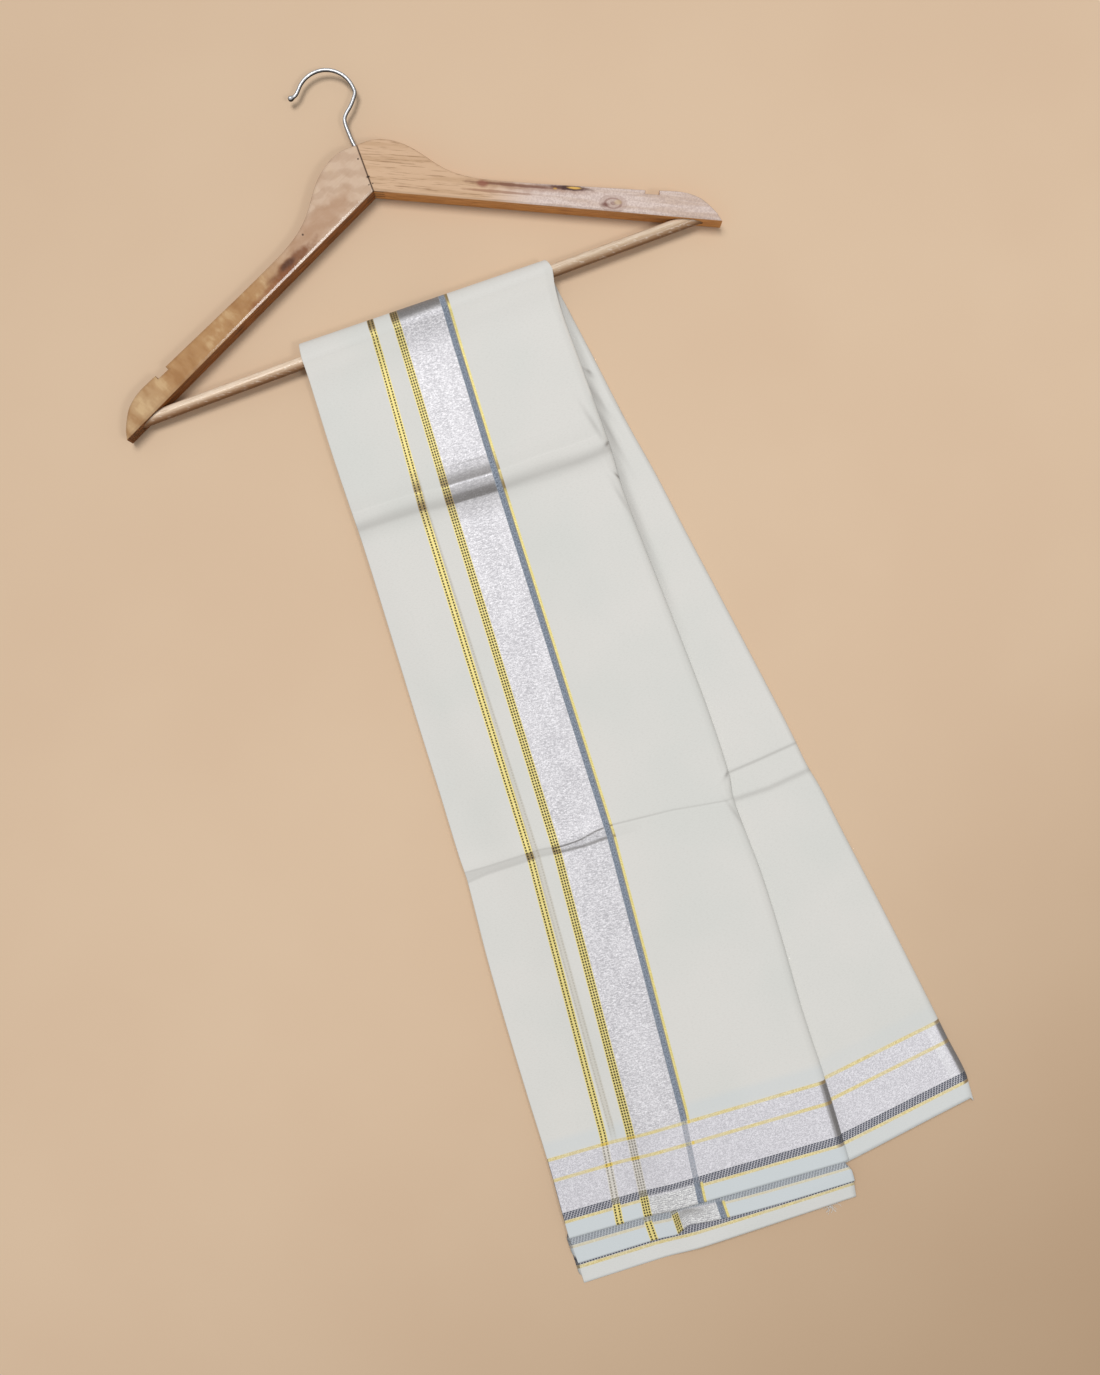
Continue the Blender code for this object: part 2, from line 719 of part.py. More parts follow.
def stand_on_origin(objects, carried, collection):
    """Carries everything on one empty that puts the box's base middle at the origin."""
    bpy.context.view_layer.update()
    low, high = box_of(objects)
    root = bpy.data.objects.new("dhoti_origin", None)
    collection.objects.link(root)
    for item in carried:
        item.parent = root
    root.location = (-(low.x + high.x) / 2, -(low.y + high.y) / 2, -low.z)
    bpy.context.view_layer.update()


def main():
    clear_scene()
    parts = new_collection(PARTS)
    cutters = new_collection(CUTTERS)
    wood = principled("arm_wood", WOOD_COLOUR, 0.45)
    bar_wood = principled("bar_wood", BAR_COLOUR, 0.5)
    wire = principled("hook_wire", WIRE_COLOUR, 0.22, 1.0)
    cloth = principled("dhoti_cotton", CLOTH_COLOUR, 0.85)
    build_hanger(parts, cutters, wood, bar_wood, wire)
    build_front(parts, cloth)
    build_back(parts, cloth)
    pieces = list(parts.objects)
    stand_on_origin(pieces, pieces + list(cutters.objects), parts)


main()
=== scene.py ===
"""A cotton dhoti with silver and gold borders, folded over the bar of a wooden hanger.

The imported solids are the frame. Each cloth solid is replaced by a thin sheet folded on itself, on
the solid's own form, with its pressed creases and woven bands. The hanger keeps its solids' form.
The cloth's form is worked out in millimetres, in a frame whose X axis is the bar's own axis, with
+Y to the hook and +Z up from the surface. to_row() carries points from there to the row's frame.
"""
import math
import random

import bmesh
import bpy
import numpy as np
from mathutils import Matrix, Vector


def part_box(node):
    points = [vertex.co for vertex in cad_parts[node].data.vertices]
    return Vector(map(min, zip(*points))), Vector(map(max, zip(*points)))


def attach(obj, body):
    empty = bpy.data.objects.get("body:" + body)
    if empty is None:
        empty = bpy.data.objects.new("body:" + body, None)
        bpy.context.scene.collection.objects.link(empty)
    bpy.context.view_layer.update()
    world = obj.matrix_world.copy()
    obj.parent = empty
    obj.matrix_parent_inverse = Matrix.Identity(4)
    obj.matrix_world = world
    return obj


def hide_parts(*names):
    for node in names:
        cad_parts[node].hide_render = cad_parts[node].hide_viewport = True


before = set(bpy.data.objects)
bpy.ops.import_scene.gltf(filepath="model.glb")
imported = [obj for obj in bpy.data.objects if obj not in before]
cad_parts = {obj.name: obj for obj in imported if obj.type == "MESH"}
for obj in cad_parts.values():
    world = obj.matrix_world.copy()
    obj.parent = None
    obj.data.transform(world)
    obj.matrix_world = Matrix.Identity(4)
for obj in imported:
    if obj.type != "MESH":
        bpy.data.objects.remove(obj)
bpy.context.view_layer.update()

MM = 0.001
BAR_LOW, BAR_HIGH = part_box("hanger_trouser_bar")
BAR_Y = (BAR_LOW[1] + BAR_HIGH[1]) / 2
MID_Z = (BAR_LOW[2] + BAR_HIGH[2]) / 2 / MM
BAR_RADIUS = (BAR_HIGH[2] - BAR_LOW[2]) / 2 / MM

# Camera: straight above, turned so that the bar rises to the right.
CAMERA_PLACE = (-0.0039, -0.0255, 0.900)
CAMERA_TURN = math.radians(-20.2)
CAMERA_LENS = 33.66
CAMERA_SENSOR = 36.0

# Layers of the cloth, as in the solids: a sheet is two or more plies of the real cloth. Sheets
# are squashed where they go under the bar.
GAP = 0.3
LAYER = 1.0
LAYER_STEP = LAYER + GAP
PLY = 0.34
SQUASH = 0.7
# Round the bar: how loosely, where the front leaves it, and where that lands on the back half.
WRAP_RADIUS = BAR_RADIUS + GAP
LOOSE_LEFT, LOOSE_RIGHT = 4.5, 0.3
LEAVE_ANGLE = 120
TOP_ANGLE = 90
LANDING_Y = -34.0
LANDING_POWER = 2.35
BACK_UNDER_BAR = 3 * SQUASH * LAYER + 2 * GAP
BACK_THICKNESS = 3.6
BACK_SWELLS_FROM_Y = -4.0
# The front falls to the surface so far past the back half's edges.
EDGE_DROP = 34.0
EDGE_HOLD = 2.5
# The sheets' ends, by their drop below the bar.
TOP_END = 643.0
SECOND_END = 662.0
THIRD_END = 675.0
BACK_END = 645.0
# Rolled right edges, and how the folds lie at the left.
ROLL_FULL_AT = 45.0
ROLL_RADIUS = 3.1
ROLL_SHORT = 0.95
ROLL_TUCK = 0.6
LEFT_FADE = 12.0
# The front sheets, counted from the bar outwards.
THIRD_SHEET, SECOND_SHEET, TOP_SHEET = 0, 1, 2
ENDS = (THIRD_END, SECOND_END, TOP_END)
PLY_PITCH = 0.62
UNDER_PLY_PITCH = 0.48
FOLD_STEPS = (-50, 0, 50)
FLARES = (0.75, 0.95)
# How far the cotton is lit where it comes over the bar.
OVER_BAR_LIT = 0.33
# From this drop on, the woven pattern goes by the drop alone.
WOVEN_RUN_FROM = 12.0
# How far a lower ply shows past the upper one's left fold.
LOWER_PLY_SHOWS = 1.9
# The second sheet's end stands up about this x.
SECOND_END_X = -39.0
SECOND_END_LIFT = 1.5
SECOND_END_SHIFT = 5.2

FRONT_ROWS = (
    # drop, left x, left y, right x, right y
    (0, -86.2, 0, 97, 0), (10, -86.8, -10, 95.2, -10), (25, -87.8, -25, 94.3, -25),
    (60, -89.7, -60, 94.2, -61), (100, -91, -98, 93.9, -101.5), (127, -91.5, -123, 93.4, -131),
    (155, -92.6, -150, 91.4, -160), (200, -95.2, -196, 92, -204.5),
    (260, -98.6, -256, 93.5, -266), (315, -101.4, -311, 94.2, -322),
    (363, -104.1, -359, 92.4, -371), (378, -104.4, -374.5, 89.6, -386),
    (395, -105.9, -391, 89.3, -403), (435, -110, -430, 89.7, -444),
    (480, -113.5, -475, 87.5, -489), (535, -116.8, -529, 83.5, -543),
    (585, -119.4, -579, 81.8, -593), (643, -124, -636, 78.2, -650.5),
    (662, -124.4, -655, 77.3, -666), (675, -125.4, -669.8, 75.3, -678.2),
)
BACK_ROWS = (
    # drop, left x, left y, right x, right y
    (0, -84, -0.3, 96.3, -0.3), (11, -83.2, -11, 96.9, -11), (30, -81.7, -31, 99.7, -29.5),
    (60, -79.4, -62, 103.7, -58.5), (90, -77.1, -93.5, 107.3, -88),
    (120, -74.8, -126, 111.1, -117.5), (160, -71.8, -168, 117.3, -156.5),
    (203, -68.5, -213, 122.7, -198.5), (283, -62.3, -296, 133.4, -277.5),
    (350, -57.3, -363, 142.3, -346), (368, -56, -382.5, 144.3, -364.5),
    (387, -55, -409, 146.2, -383.5), (405, -53.2, -428, 149.6, -402),
    (435, -50.9, -456, 153, -431), (500, -45.8, -520, 161.2, -496),
    (574, -40.3, -592, 169.6, -569), (602, -38, -621, 172.6, -597),
    (628, -35.6, -648, 176, -623.5), (645, -34, -667, 174.6, -640.4),
)
WRAP_ROWS = (
    # degrees round the bar (-90 is under it, 90 on top), left x, right x
    (-90, -84, 96.3), (-45, -84.2, 95), (0, -84.8, 93.8), (45, -85.4, 95.6), (90, -86.2, 97),
    (120, -86.3, 96.6),
)
# The woven end band down the front. Its three main lines, by the drop below the bar.
TOP_BAND_ROWS = (
    # drop, narrow stripe's left x, second stripe's left x, silver's right x
    (-15, -34.8, -18.6, 17.2), (127, -46.8, -27.6, 9.3), (379, -60.1, -41.6, -2.6),
    (579, -79.5, -61.3, -21.9), (641, -89.8, -69.7, -30.9),
)
SECOND_BAND_ROWS = (
    # drop, narrow stripe's left x, second stripe's left x, silver's right x
    (600, -70.6, -50.6, -18.6), (662, -71.4, -51.6, -19.7),
)
# Lines so far off that a sheet shows no end band.
FAR_FROM_BAND = 400.0
NO_BAND_ROWS = ((0, 400, 419, 458), (700, 400, 419, 458))

# Woven bands, in millimetres from the selvedge.
HEM_START = -2.0
EDGE_GOLD = (11.0, 13.2)
EDGE_DASHES = (13.2, 18.8)
EDGE_SILVER = (18.8, 56.2)
EDGE_GOLD_TWO = (41.3, 43.7)
EDGE_GOLD_ONE = (56.2, 58.6)
DASH_ROW = 1.12
DASH_LENGTH = 2.1
DASH_SOFT = 0.06
# Woven bands across the end band, in millimetres.
NARROW_STRIPE = (0.0, 5.4)
SECOND_STRIPE = (19.0, 24.9)
BAND_SILVER = (24.9, 58.0)
BAND_BLUE = (58.0, 61.9)
BAND_GOLD = (62.5, 64.2)
DOT_ROWS = (1.25, 4.05, 20.2, 22.0, 23.8)
DOT_WIDTH = 1.15
DOT_SHARE = 0.68
DOT_PITCH = 2.0
BEAD_PITCH = 1.1
# The narrow stripe of the ply below, which shows through: its place at the hem and its drift.
GHOST_ACROSS = 8.0
GHOST_DRIFT = -0.0125
GHOST_STRIPE = (0.3, 5.1)
GHOST_ROWS = ((0.7, 1.8), (3.5, 4.6))
GHOST_REACH = (62.0, 540.0)

# Pressed creases: rows of x, y and height. A flank leans towards the hem, over its width above
# its line, and rises slowly behind that. The others are narrow.
FLANK_ONE = (
    (-91, -124, 0.5), (-60, -126, 0.55), (-35, -128.5, 0.8), (-8.8, -130, 1.3), (17.8, -134, 1.8),
    (45, -136.5, 2.0), (85, -136, 1.5), (93, -132, 0.6),
)
FLANK_ONE_WIDTH, FLANK_ONE_RISE = 8.5, 12.0
FLANK_TWO = (
    (-104.4, -377, 0.75), (-85, -377.8, 0.8), (-50.7, -378.3, 0.8), (-27, -381, 0.9),
    (-3, -382.2, 0.85), (25, -384, 0.15), (94, -390, 0),
)
FLANK_TWO_WIDTH, FLANK_TWO_RISE = 6.5, 8.0
CREASE_ONE_UPPER = (
    (-40, -96, 0), (-20, -98, 0.3), (11, -105.5, 0.3), (30, -108, 0),
)
CREASE_ONE_BETWEEN = (
    (-45, -113, 0), (-20.4, -119, 0.3), (8.9, -122, 0.3), (30, -124, 0),
)
CREASE_ONE_LOWER = (
    (-45, -136, 0), (-20, -139, 0.25), (5, -142, 0.25), (20, -143, 0),
)
CREASE_TWO_UPPER = (
    (-104, -371.4, -0.1), (-60, -373.6, -0.15), (-48, -374.2, -0.2), (-34, -377, -0.25),
    (-21, -377.2, -0.25), (-9, -375.2, -0.28), (2, -374.9, -0.28), (22.9, -377.3, -0.28),
    (46.5, -379.9, -0.25), (66, -383.6, -0.22), (84, -386.8, -0.2),
)
BACK_CREASE_UPPER = (
    (80, -369, -0.2), (92, -369.5, -0.28), (114.2, -368.4, -0.28), (142, -366.4, -0.28),
)
BACK_CREASE_LOWER = (
    (80, -388.4, -0.15), (92.6, -388.6, -0.2), (115.1, -389.5, -0.22), (143.4, -387.2, -0.22),
)
CREASE_WIDTH = 1.3
TROUGH_WIDTH = 0.9
# The creases' lines of painted shade: rows of x and y.
LINE_ONE = (
    (-97.4, -121.2), (-88, -122.3), (-50, -123.7), (-23, -127.7), (8.8, -129.6), (43.7, -129.3),
    (69.7, -130.6), (86, -130),
)
LINE_TWO = (
    (-106.6, -378.6), (-90.5, -377.5), (-50.7, -378.3), (-35, -380.6), (-20, -382.3),
    (-3, -382.3), (20, -384.5),
)
LINE_TWO_UPPER = (
    (-104, -371.4), (-89.6, -372.6), (-60, -373.6), (-48, -374.2), (-34, -377), (-21, -377.2),
    (-9, -375.2), (2, -374.9), (22.9, -377.3), (46.5, -379.9), (66, -383.6), (84, -386.8),
)
# Painted shade of the metal thread about crease one: mm above its line, degrees of lean.
CREASE_ONE_THREAD_SHADE = (
    (-15.5, 0), (-14, 5.5), (-13, 3), (-11.5, 6.5), (-7, 7.5), (-3, 8.5), (-0.9, 10),
    (-0.1, 18.5), (0.8, 16.5), (4.5, 14.5), (6.5, 10.5), (9.5, 9.5), (11.2, 9), (11.8, -2),
    (12.4, 9), (13.2, 14), (17, 12.5), (20, 9), (22.5, 7), (24.5, 6), (25.3, 9.5), (26, 4),
    (31, 0),
)
# The back's outer ply ends lower than the rest at its rolled edge.
TAIL = 9.0
TAIL_LONGER = 3.4
# The cloth dips towards its rolled right edge, over this width.
SHOULDER = 7.0
SHOULDER_FALL = 0.5
# The faint unevenness: how many waves, how long, how high and with which seed.
WAVES = 7
WAVE_LENGTHS = (45.0, 130.0)
TOP_WAVES = (0.45, 3)
BACK_WAVES = (0.4, 8)
# Small pinches: x, y, length, width, height, degrees from the X axis.
TOP_PINCHES = (
    (92, -123.6, 6, 2, 0.8, 20), (89.5, -150.8, 7, 2, 0.7, -55), (86, -140, 9, 2.5, 0.45, -70),
    (89.5, -369, 6, 2, 0.8, 35), (84, -395, 12, 2.5, 0.5, -75),
)
BACK_PINCHES = (
    (97.5, -74, 7, 1.8, 0.55, -60), (104, -96, 12, 2, 0.45, -75), (109, -109.5, 4, 1.8, 0.6, 10),
    (101, -120, 26, 2.2, 0.35, -82),
)
# Patches of painted shade, with the same columns and a share of the darkening for the height.
TOP_SHADE_MARKS = (
    (91.8, -125.6, 2.4, 0.9, 0.9, 35), (91, -149.5, 3, 0.9, 1, -62),
    (90.5, -369.5, 2.4, 0.9, 0.8, 40), (87.5, -110, 14, 1.6, 0.35, -78),
    (88, -165, 12, 1.4, 0.3, -80), (86, -396, 10, 1.3, 0.3, -75), (-99.5, -116, 3, 1, 0.45, -25),
)
BACK_SHADE_MARKS = (
    (97.5, -74, 4, 1, 0.7, -60), (96.6, -92, 16, 1.6, 0.4, -76),
    (110.3, -109.6, 1.6, 1.2, 0.6, 10), (97, -120, 22, 1.8, 0.35, -82),
)


def to_row(points):
    """Points of the working frame, in millimetres, as points of the row's frame, in metres."""
    moved = np.array(points, float) * MM
    moved[..., 1] += BAR_Y
    return moved


def srgb(text):
    """Linear colour of a six-digit hex colour."""
    values = [int(text[place:place + 2], 16) / 255 for place in (0, 2, 4)]
    return tuple(v / 12.92 if v <= 0.04045 else ((v + 0.055) / 1.055) ** 2.4 for v in values)


def smoothstep(value):
    value = np.clip(value, 0.0, 1.0)
    return value * value * (3 - 2 * value)


def mix(low, high, share):
    return low + (high - low) * share


def read_rows(table, keys):
    """The table's other columns at each key, on a smooth curve through its rows."""
    rows = np.array(table, float)
    keys = np.atleast_1d(np.asarray(keys, float))
    last = len(rows) - 1
    index = np.clip(np.searchsorted(rows[:, 0], keys, side="left") - 1, 0, last - 1)
    before = rows[np.maximum(index - 1, 0)]
    start = rows[index]
    end = rows[index + 1]
    after = rows[np.minimum(index + 2, last)]
    span = end[:, :1] - start[:, :1]
    share = (keys[:, None] - start[:, :1]) / span
    slope_in = (end - before)[:, 1:] / (end - before)[:, :1]
    slope_out = (after - start)[:, 1:] / (after - start)[:, :1]
    step = (end - start)[:, 1:]
    bend = share * (1 - share)
    curved = bend * ((slope_in * span - step) * (1 - share) - (slope_out * span - step) * share)
    return (start[:, 1:] + step * share + curved).T


# ------------------------------------------------------- form of the cloth

def swell_at(y):
    return smoothstep((BACK_SWELLS_FROM_Y - y) / (BACK_SWELLS_FROM_Y - LANDING_Y))


def back_top_z(y):
    return mix(BACK_UNDER_BAR, BACK_THICKNESS, swell_at(y))


def back_left_x(y):
    first = BACK_ROWS[0]
    last = BACK_ROWS[-1]
    return mix(first[1], last[1], (y - first[2]) / (last[2] - first[2]))


def back_end_y(x):
    last = BACK_ROWS[-1]
    return mix(last[2], last[4], (x - last[1]) / (last[3] - last[1]))


def resting_height(x, y, falls):
    """Height of what the front half lies on: the back half, or the surface beside it."""
    beside = 1 - falls * smoothstep((back_left_x(y) - x - EDGE_HOLD) / EDGE_DROP)
    below = 1 - falls * smoothstep((back_end_y(x) - y - EDGE_HOLD) / EDGE_DROP)
    return (back_top_z(y) + GAP) * beside * below


def under_side_height(x, y, falls):
    turn = math.radians(LEAVE_ANGLE)
    leave_y = WRAP_RADIUS * math.cos(turn)
    leave_z = MID_Z + WRAP_RADIUS * math.sin(turn)
    rest = resting_height(x, y, falls)
    share = np.clip((y - LANDING_Y) / (leave_y - LANDING_Y), 0.0, 1.0)
    return rest + (leave_z - rest) * share ** LANDING_POWER


def at_line(x, line, column=1):
    """The line's y at each x, or its height for column 2."""
    points = np.array(line)
    return np.interp(x, points[:, 0], points[:, column])


def right_edge_x(y, rows):
    table = np.array(rows)
    return np.interp(-y, -table[:, 4], table[:, 3])


def hump(away, width):
    """1 at nought, falling off over the width to each side."""
    return np.exp(-(away / width) ** 2)


def ridge(x, y, line, width=CREASE_WIDTH):
    """A pressed crease: a ridge along the line, sharp at its top, soft at its foot."""
    away = np.abs(y - at_line(x, line)) / width
    return at_line(x, line, 2) / (1 + away ** 2) ** 1.5


def flank(x, y, line, width, rise):
    """A pressed crease with one side: slowly up towards the line, then down to it."""
    above = y - at_line(x, line)
    down = smoothstep(above / width)
    return at_line(x, line, 2) * down * hump(np.maximum(above - width, 0.0), rise)


def pinch(x, y, place_x, place_y, length, width, height, degrees):
    """A short ridge or patch of painted shade, as long and wide as given, turned from the X axis.
    """
    turn = math.radians(degrees)
    along = (x - place_x) * math.cos(turn) + (y - place_y) * math.sin(turn)
    across = (y - place_y) * math.cos(turn) - (x - place_x) * math.sin(turn)
    return height * np.exp(-(along / length) ** 2 - (across / width) ** 2)


def pinches(x, y, table):
    return sum(pinch(x, y, *row) for row in table)


def slow_waves(x, y, height, seed):
    """The faint unevenness of pressed cloth: a few long waves, never below nought."""
    chance = random.Random(seed)
    total = np.zeros_like(x)
    for _ in range(WAVES):
        length = chance.uniform(*WAVE_LENGTHS)
        turn = chance.uniform(0.0, math.pi)
        start = chance.uniform(0.0, 2 * math.pi)
        total += np.sin((x * math.cos(turn) + y * math.sin(turn)) * 2 * math.pi / length + start)
    return height * (0.5 + total / (2 * WAVES))


def top_relief(x, y):
    """The top sheet's creases and pinches, and the fall towards its rolled edge."""
    total = slow_waves(x, y, *TOP_WAVES)
    total = total + flank(x, y, FLANK_ONE, FLANK_ONE_WIDTH, FLANK_ONE_RISE)
    total = total + flank(x, y, FLANK_TWO, FLANK_TWO_WIDTH, FLANK_TWO_RISE)
    for line in (CREASE_ONE_UPPER, CREASE_ONE_BETWEEN, CREASE_ONE_LOWER):
        total = total + ridge(x, y, line)
    total = total + ridge(x, y, CREASE_TWO_UPPER, TROUGH_WIDTH) + pinches(x, y, TOP_PINCHES)
    near_right = smoothstep((x - right_edge_x(y, FRONT_ROWS) + SHOULDER) / SHOULDER)
    return total + SHOULDER_FALL * (1 - near_right)


def between_lines(x, y, soft):
    """1 between crease two's two lines, with a soft lower edge."""
    low, high = at_line(x, LINE_TWO), at_line(x, LINE_TWO_UPPER)
    return smoothstep((y - low) / soft) * smoothstep((high - y) / 1.0)


def top_thread_painted_shade(x, y, run):
    """Painted shade, in degrees of lean, of the metal thread at its creases, its fold and its right
    edge.

    Set to match how dark the thread is in the photograph: it isn't the mesh's own lean.
    """
    one = np.interp(y - at_line(x, LINE_ONE), *np.array(CREASE_ONE_THREAD_SHADE).T)
    two = 13.0 * hump(y - at_line(x, LINE_TWO), 1.3) * (1 - smoothstep((x - 10.0) / 20.0))
    two = two + 17.0 * hump(y - at_line(x, LINE_TWO_UPPER), 0.6)
    two = two + between_lines(x, y, 1.5) * mix(13.0, 4.0, smoothstep((x + 42.0) / 8.0))
    fold = 14.0 * smoothstep((y + 2.5) / 7.5) + 1.5 * (1 - smoothstep((run - 4.0) / 15.0))
    edge = 11.5 * smoothstep((x - right_edge_x(y, FRONT_ROWS) + SHOULDER) / 2.5)
    return one + two + fold + edge


def top_painted_shade(x, y):
    """How far painted shade darkens the cotton at the top sheet's creases and pinches."""
    left = 1 - smoothstep((x + 45.0) / 40.0)
    total = between_lines(x, y, 1.2) * 0.16 * left
    total = total + 0.26 * hump(y - at_line(x, LINE_TWO), 0.9) * left
    upper = mix(0.30, 0.20, smoothstep((x - 20.0) / 30.0))
    total = total + upper * hump(y - at_line(x, LINE_TWO_UPPER), 0.6)
    return total + crease_one_painted_shade(x, y) + pinches(x, y, TOP_SHADE_MARKS)


def crease_one_painted_shade(x, y):
    """The painted shade in crease one: broad and soft above its line, quickly gone below it."""
    above = y - at_line(x, LINE_ONE)
    upper = hump(above, mix(5.8, 4.2, smoothstep((np.abs(x + 5.0) - 50.0) / 40.0)))
    lower = 0.62 * hump(above, 2.2) + 0.38 * smoothstep((above + 12.0) / 12.0)
    return mix(0.37, 0.34, smoothstep((x + 40.0) / 60.0)) * np.where(above > 0, upper, lower)


def back_painted_shade(x, y):
    """The same painted shade for the back: at its creases, and soft beside the top sheet's edge."""
    beside = np.maximum(x - right_edge_x(y, FRONT_ROWS) - 1.5, 0.0)
    total = 0.45 * smoothstep((y + 300.0) / 130.0) * hump(beside, 3.2)
    for line, share, reach in ((BACK_CREASE_UPPER, 0.45, 0.9), (BACK_CREASE_LOWER, 0.33, 1.9)):
        total = total + share * hump(y - at_line(x, line), reach)
    return total + pinches(x, y, BACK_SHADE_MARKS)


def back_edge_lit_and_shaded(x, y):
    """Painted light in a strip beside the rolled right edge, and painted shade on the edge itself.
    """
    off = right_edge_x(y, BACK_ROWS) - x
    bright = smoothstep((12.5 - off) / 2.0) * smoothstep((off - 5.5) / 1.2)
    dark = smoothstep((5.8 - off) / 2.0)
    return 12.0 * dark - 10.0 * bright


def back_relief(x, y):
    total = slow_waves(x, y, *BACK_WAVES)
    for line in (BACK_CREASE_UPPER, BACK_CREASE_LOWER):
        total = total + ridge(x, y, line, TROUGH_WIDTH)
    total = total + pinches(x, y, BACK_PINCHES)
    return total * smoothstep((x - right_edge_x(y, FRONT_ROWS) - 0.5) / 7.0)


def zigzag(plies, pitch, fine, coarse):
    """Columns of a sheet folded to and fro, from its lowest ply to its top one.

    Each column is (share of the width, height off the middle, pull inwards from the left edge,
    pull from the right edge). The top ply has the fine shares and the others the coarse. The top
    ply ends open at the right.
    """
    radius = pitch / 2
    reach = radius + PLY / 2
    columns = []
    for ply in range(plies):
        height = (ply - (plies - 1) / 2) * pitch
        shares = np.array(fine if ply == plies - 1 else coarse, float)
        if (plies - ply) % 2 == 0:
            shares = shares[::-1]
        for share in shares:
            columns.append((share, height, reach * (1 - share), reach * share))
        if ply < plies - 1:
            end = shares[-1]
            for degrees in FOLD_STEPS:
                turn = math.radians(degrees)
                pull = reach - radius * math.cos(turn)
                lift = height + radius + radius * math.sin(turn)
                left_pull = pull if end < 0.5 else 0.0
                right_pull = pull if end > 0.5 else 0.0
                columns.append((end, lift, left_pull, right_pull))
    return np.array(columns)


def spread(*stretches):
    """Rising values: each stretch is (start, end, step)."""
    values = []
    for start, end, step in stretches:
        count = max(1, round((end - start) / step))
        values += [mix(start, end, index / count) for index in range(count)]
    values.append(stretches[-1][1])
    return np.array(values)


def rolled_edge(drops, lift, turns):
    """How the right edge rolls: the width it takes, its points' way out and fall, and how level."""
    roundness = smoothstep(drops / ROLL_FULL_AT)[:, None]
    safe = np.maximum(roundness, 0.001)
    reach = np.where(roundness > 0.01, np.sin(math.pi / 2 * safe) / safe, math.pi / 2)
    bend = ROLL_RADIUS / safe
    angle = np.radians(turns) * safe
    out = np.where(turns > 0, np.sin(angle) * (bend + lift), 0.0)
    fall = np.where(turns > 0, (1 - np.cos(angle)) * (bend * ROLL_SHORT + lift), 0.0)
    return ROLL_RADIUS * reach + roundness * LAYER / 2, out, fall, np.cos(angle)


def front_grid(sheet, columns, turns, drops, relief, falls=1.0):
    """Middle surface of a front sheet's plies, with a row of points for each drop."""
    left_x, left_y, right_x, right_y = (side[:, None] for side in read_rows(FRONT_ROWS, drops))
    share, lift, left_pull, right_pull = columns.T
    taken, out, fall, level_share = rolled_edge(drops, lift, turns)
    down = drops[:, None]
    width = right_x - left_x
    if sheet == TOP_SHEET:
        along = share * (width - taken) + left_pull + out
    else:
        flare = smoothstep((down - TOP_END - 0.5) / 10.0) * FLARES[sheet]
        along = share * mix(width - taken + ROLL_TUCK, width, flare) + left_pull - right_pull
        sliver = (lift < 0) * np.clip(1 - share * LEFT_FADE, 0.0, 1.0)
        along = along - lower_ply_shows(sheet, down) * sliver
    x = left_x + along
    y = mix(left_y, right_y, along / width)
    height = sheet * LAYER_STEP + LAYER / 2 + lift - fall
    if sheet == SECOND_SHEET:
        y = y + second_end_shift(x, down)
        height = height + second_end_lift(x, down)
    if relief:
        height = height + relief(x, y) * level_share * smoothstep(down / 12.0)
    above = np.minimum(y + 0.5, WRAP_RADIUS * math.cos(math.radians(LEAVE_ANGLE)))
    slope = under_side_height(x, above, falls) - under_side_height(x, above - 1.0, falls)
    level = np.sqrt(1 + slope ** 2)
    under = under_side_height(x, y, falls)
    return np.stack([x, y - slope / level * height, under + height / level], 2)


def second_end_shift(x, drop):
    """The second sheet's end is drawn back where it stands up."""
    fades = smoothstep((drop - TOP_END + 6) / (SECOND_END - TOP_END))
    rise = smoothstep((x + 54.0) / 13.0)
    return SECOND_END_SHIFT * fades * rise * np.exp(-np.maximum(x + 40.0, 0.0) / 22.0)


def second_end_lift(x, drop):
    fades = smoothstep((drop - TOP_END) / (SECOND_END - TOP_END))
    return SECOND_END_LIFT * fades * hump(x - SECOND_END_X, 17.0)


def lower_ply_shows(sheet, drops):
    """How far the lower ply's left fold stands out past the upper one, near the sheet's end."""
    past = drops - ENDS[sheet]
    return LOWER_PLY_SHOWS * smoothstep((past + 24.0) / 6.0) * (1 - smoothstep((past + 7.0) / 3.5))


def wrap_grid(sheet, columns, turns, angles):
    """The same columns where the sheet goes round the bar, and the share of their thickness."""
    left_x, right_x = (side[:, None] for side in read_rows(WRAP_ROWS, angles))
    turn = np.radians(angles)[:, None]
    squash = mix(SQUASH, 1.0, smoothstep((angles + 76) / 36))[:, None]
    share, lift, left_pull, right_pull = columns.T
    width = FRONT_ROWS[0][3] - FRONT_ROWS[0][1]
    if sheet == TOP_SHEET:
        straight = width - ROLL_RADIUS * math.pi / 2
        along = share * straight + left_pull + ROLL_RADIUS * np.radians(turns)
    else:
        along = share * width + left_pull - right_pull
    part = along / width
    loose = mix(LOOSE_LEFT, LOOSE_RIGHT, part)
    half_width = WRAP_RADIUS + loose * (angles < TOP_ANGLE)[:, None]
    middle = sheet * (LAYER * squash + GAP) + (LAYER / 2 + lift) * squash
    out_y = np.cos(turn) / half_width
    out_z = np.sin(turn) / WRAP_RADIUS
    size = np.sqrt(out_y ** 2 + out_z ** 2)
    x = mix(left_x, right_x, part)
    y = half_width * np.cos(turn) + out_y / size * middle
    z = MID_Z + WRAP_RADIUS * np.sin(turn) + out_z / size * middle
    return np.stack([x, y, z], 2), squash[:, 0]


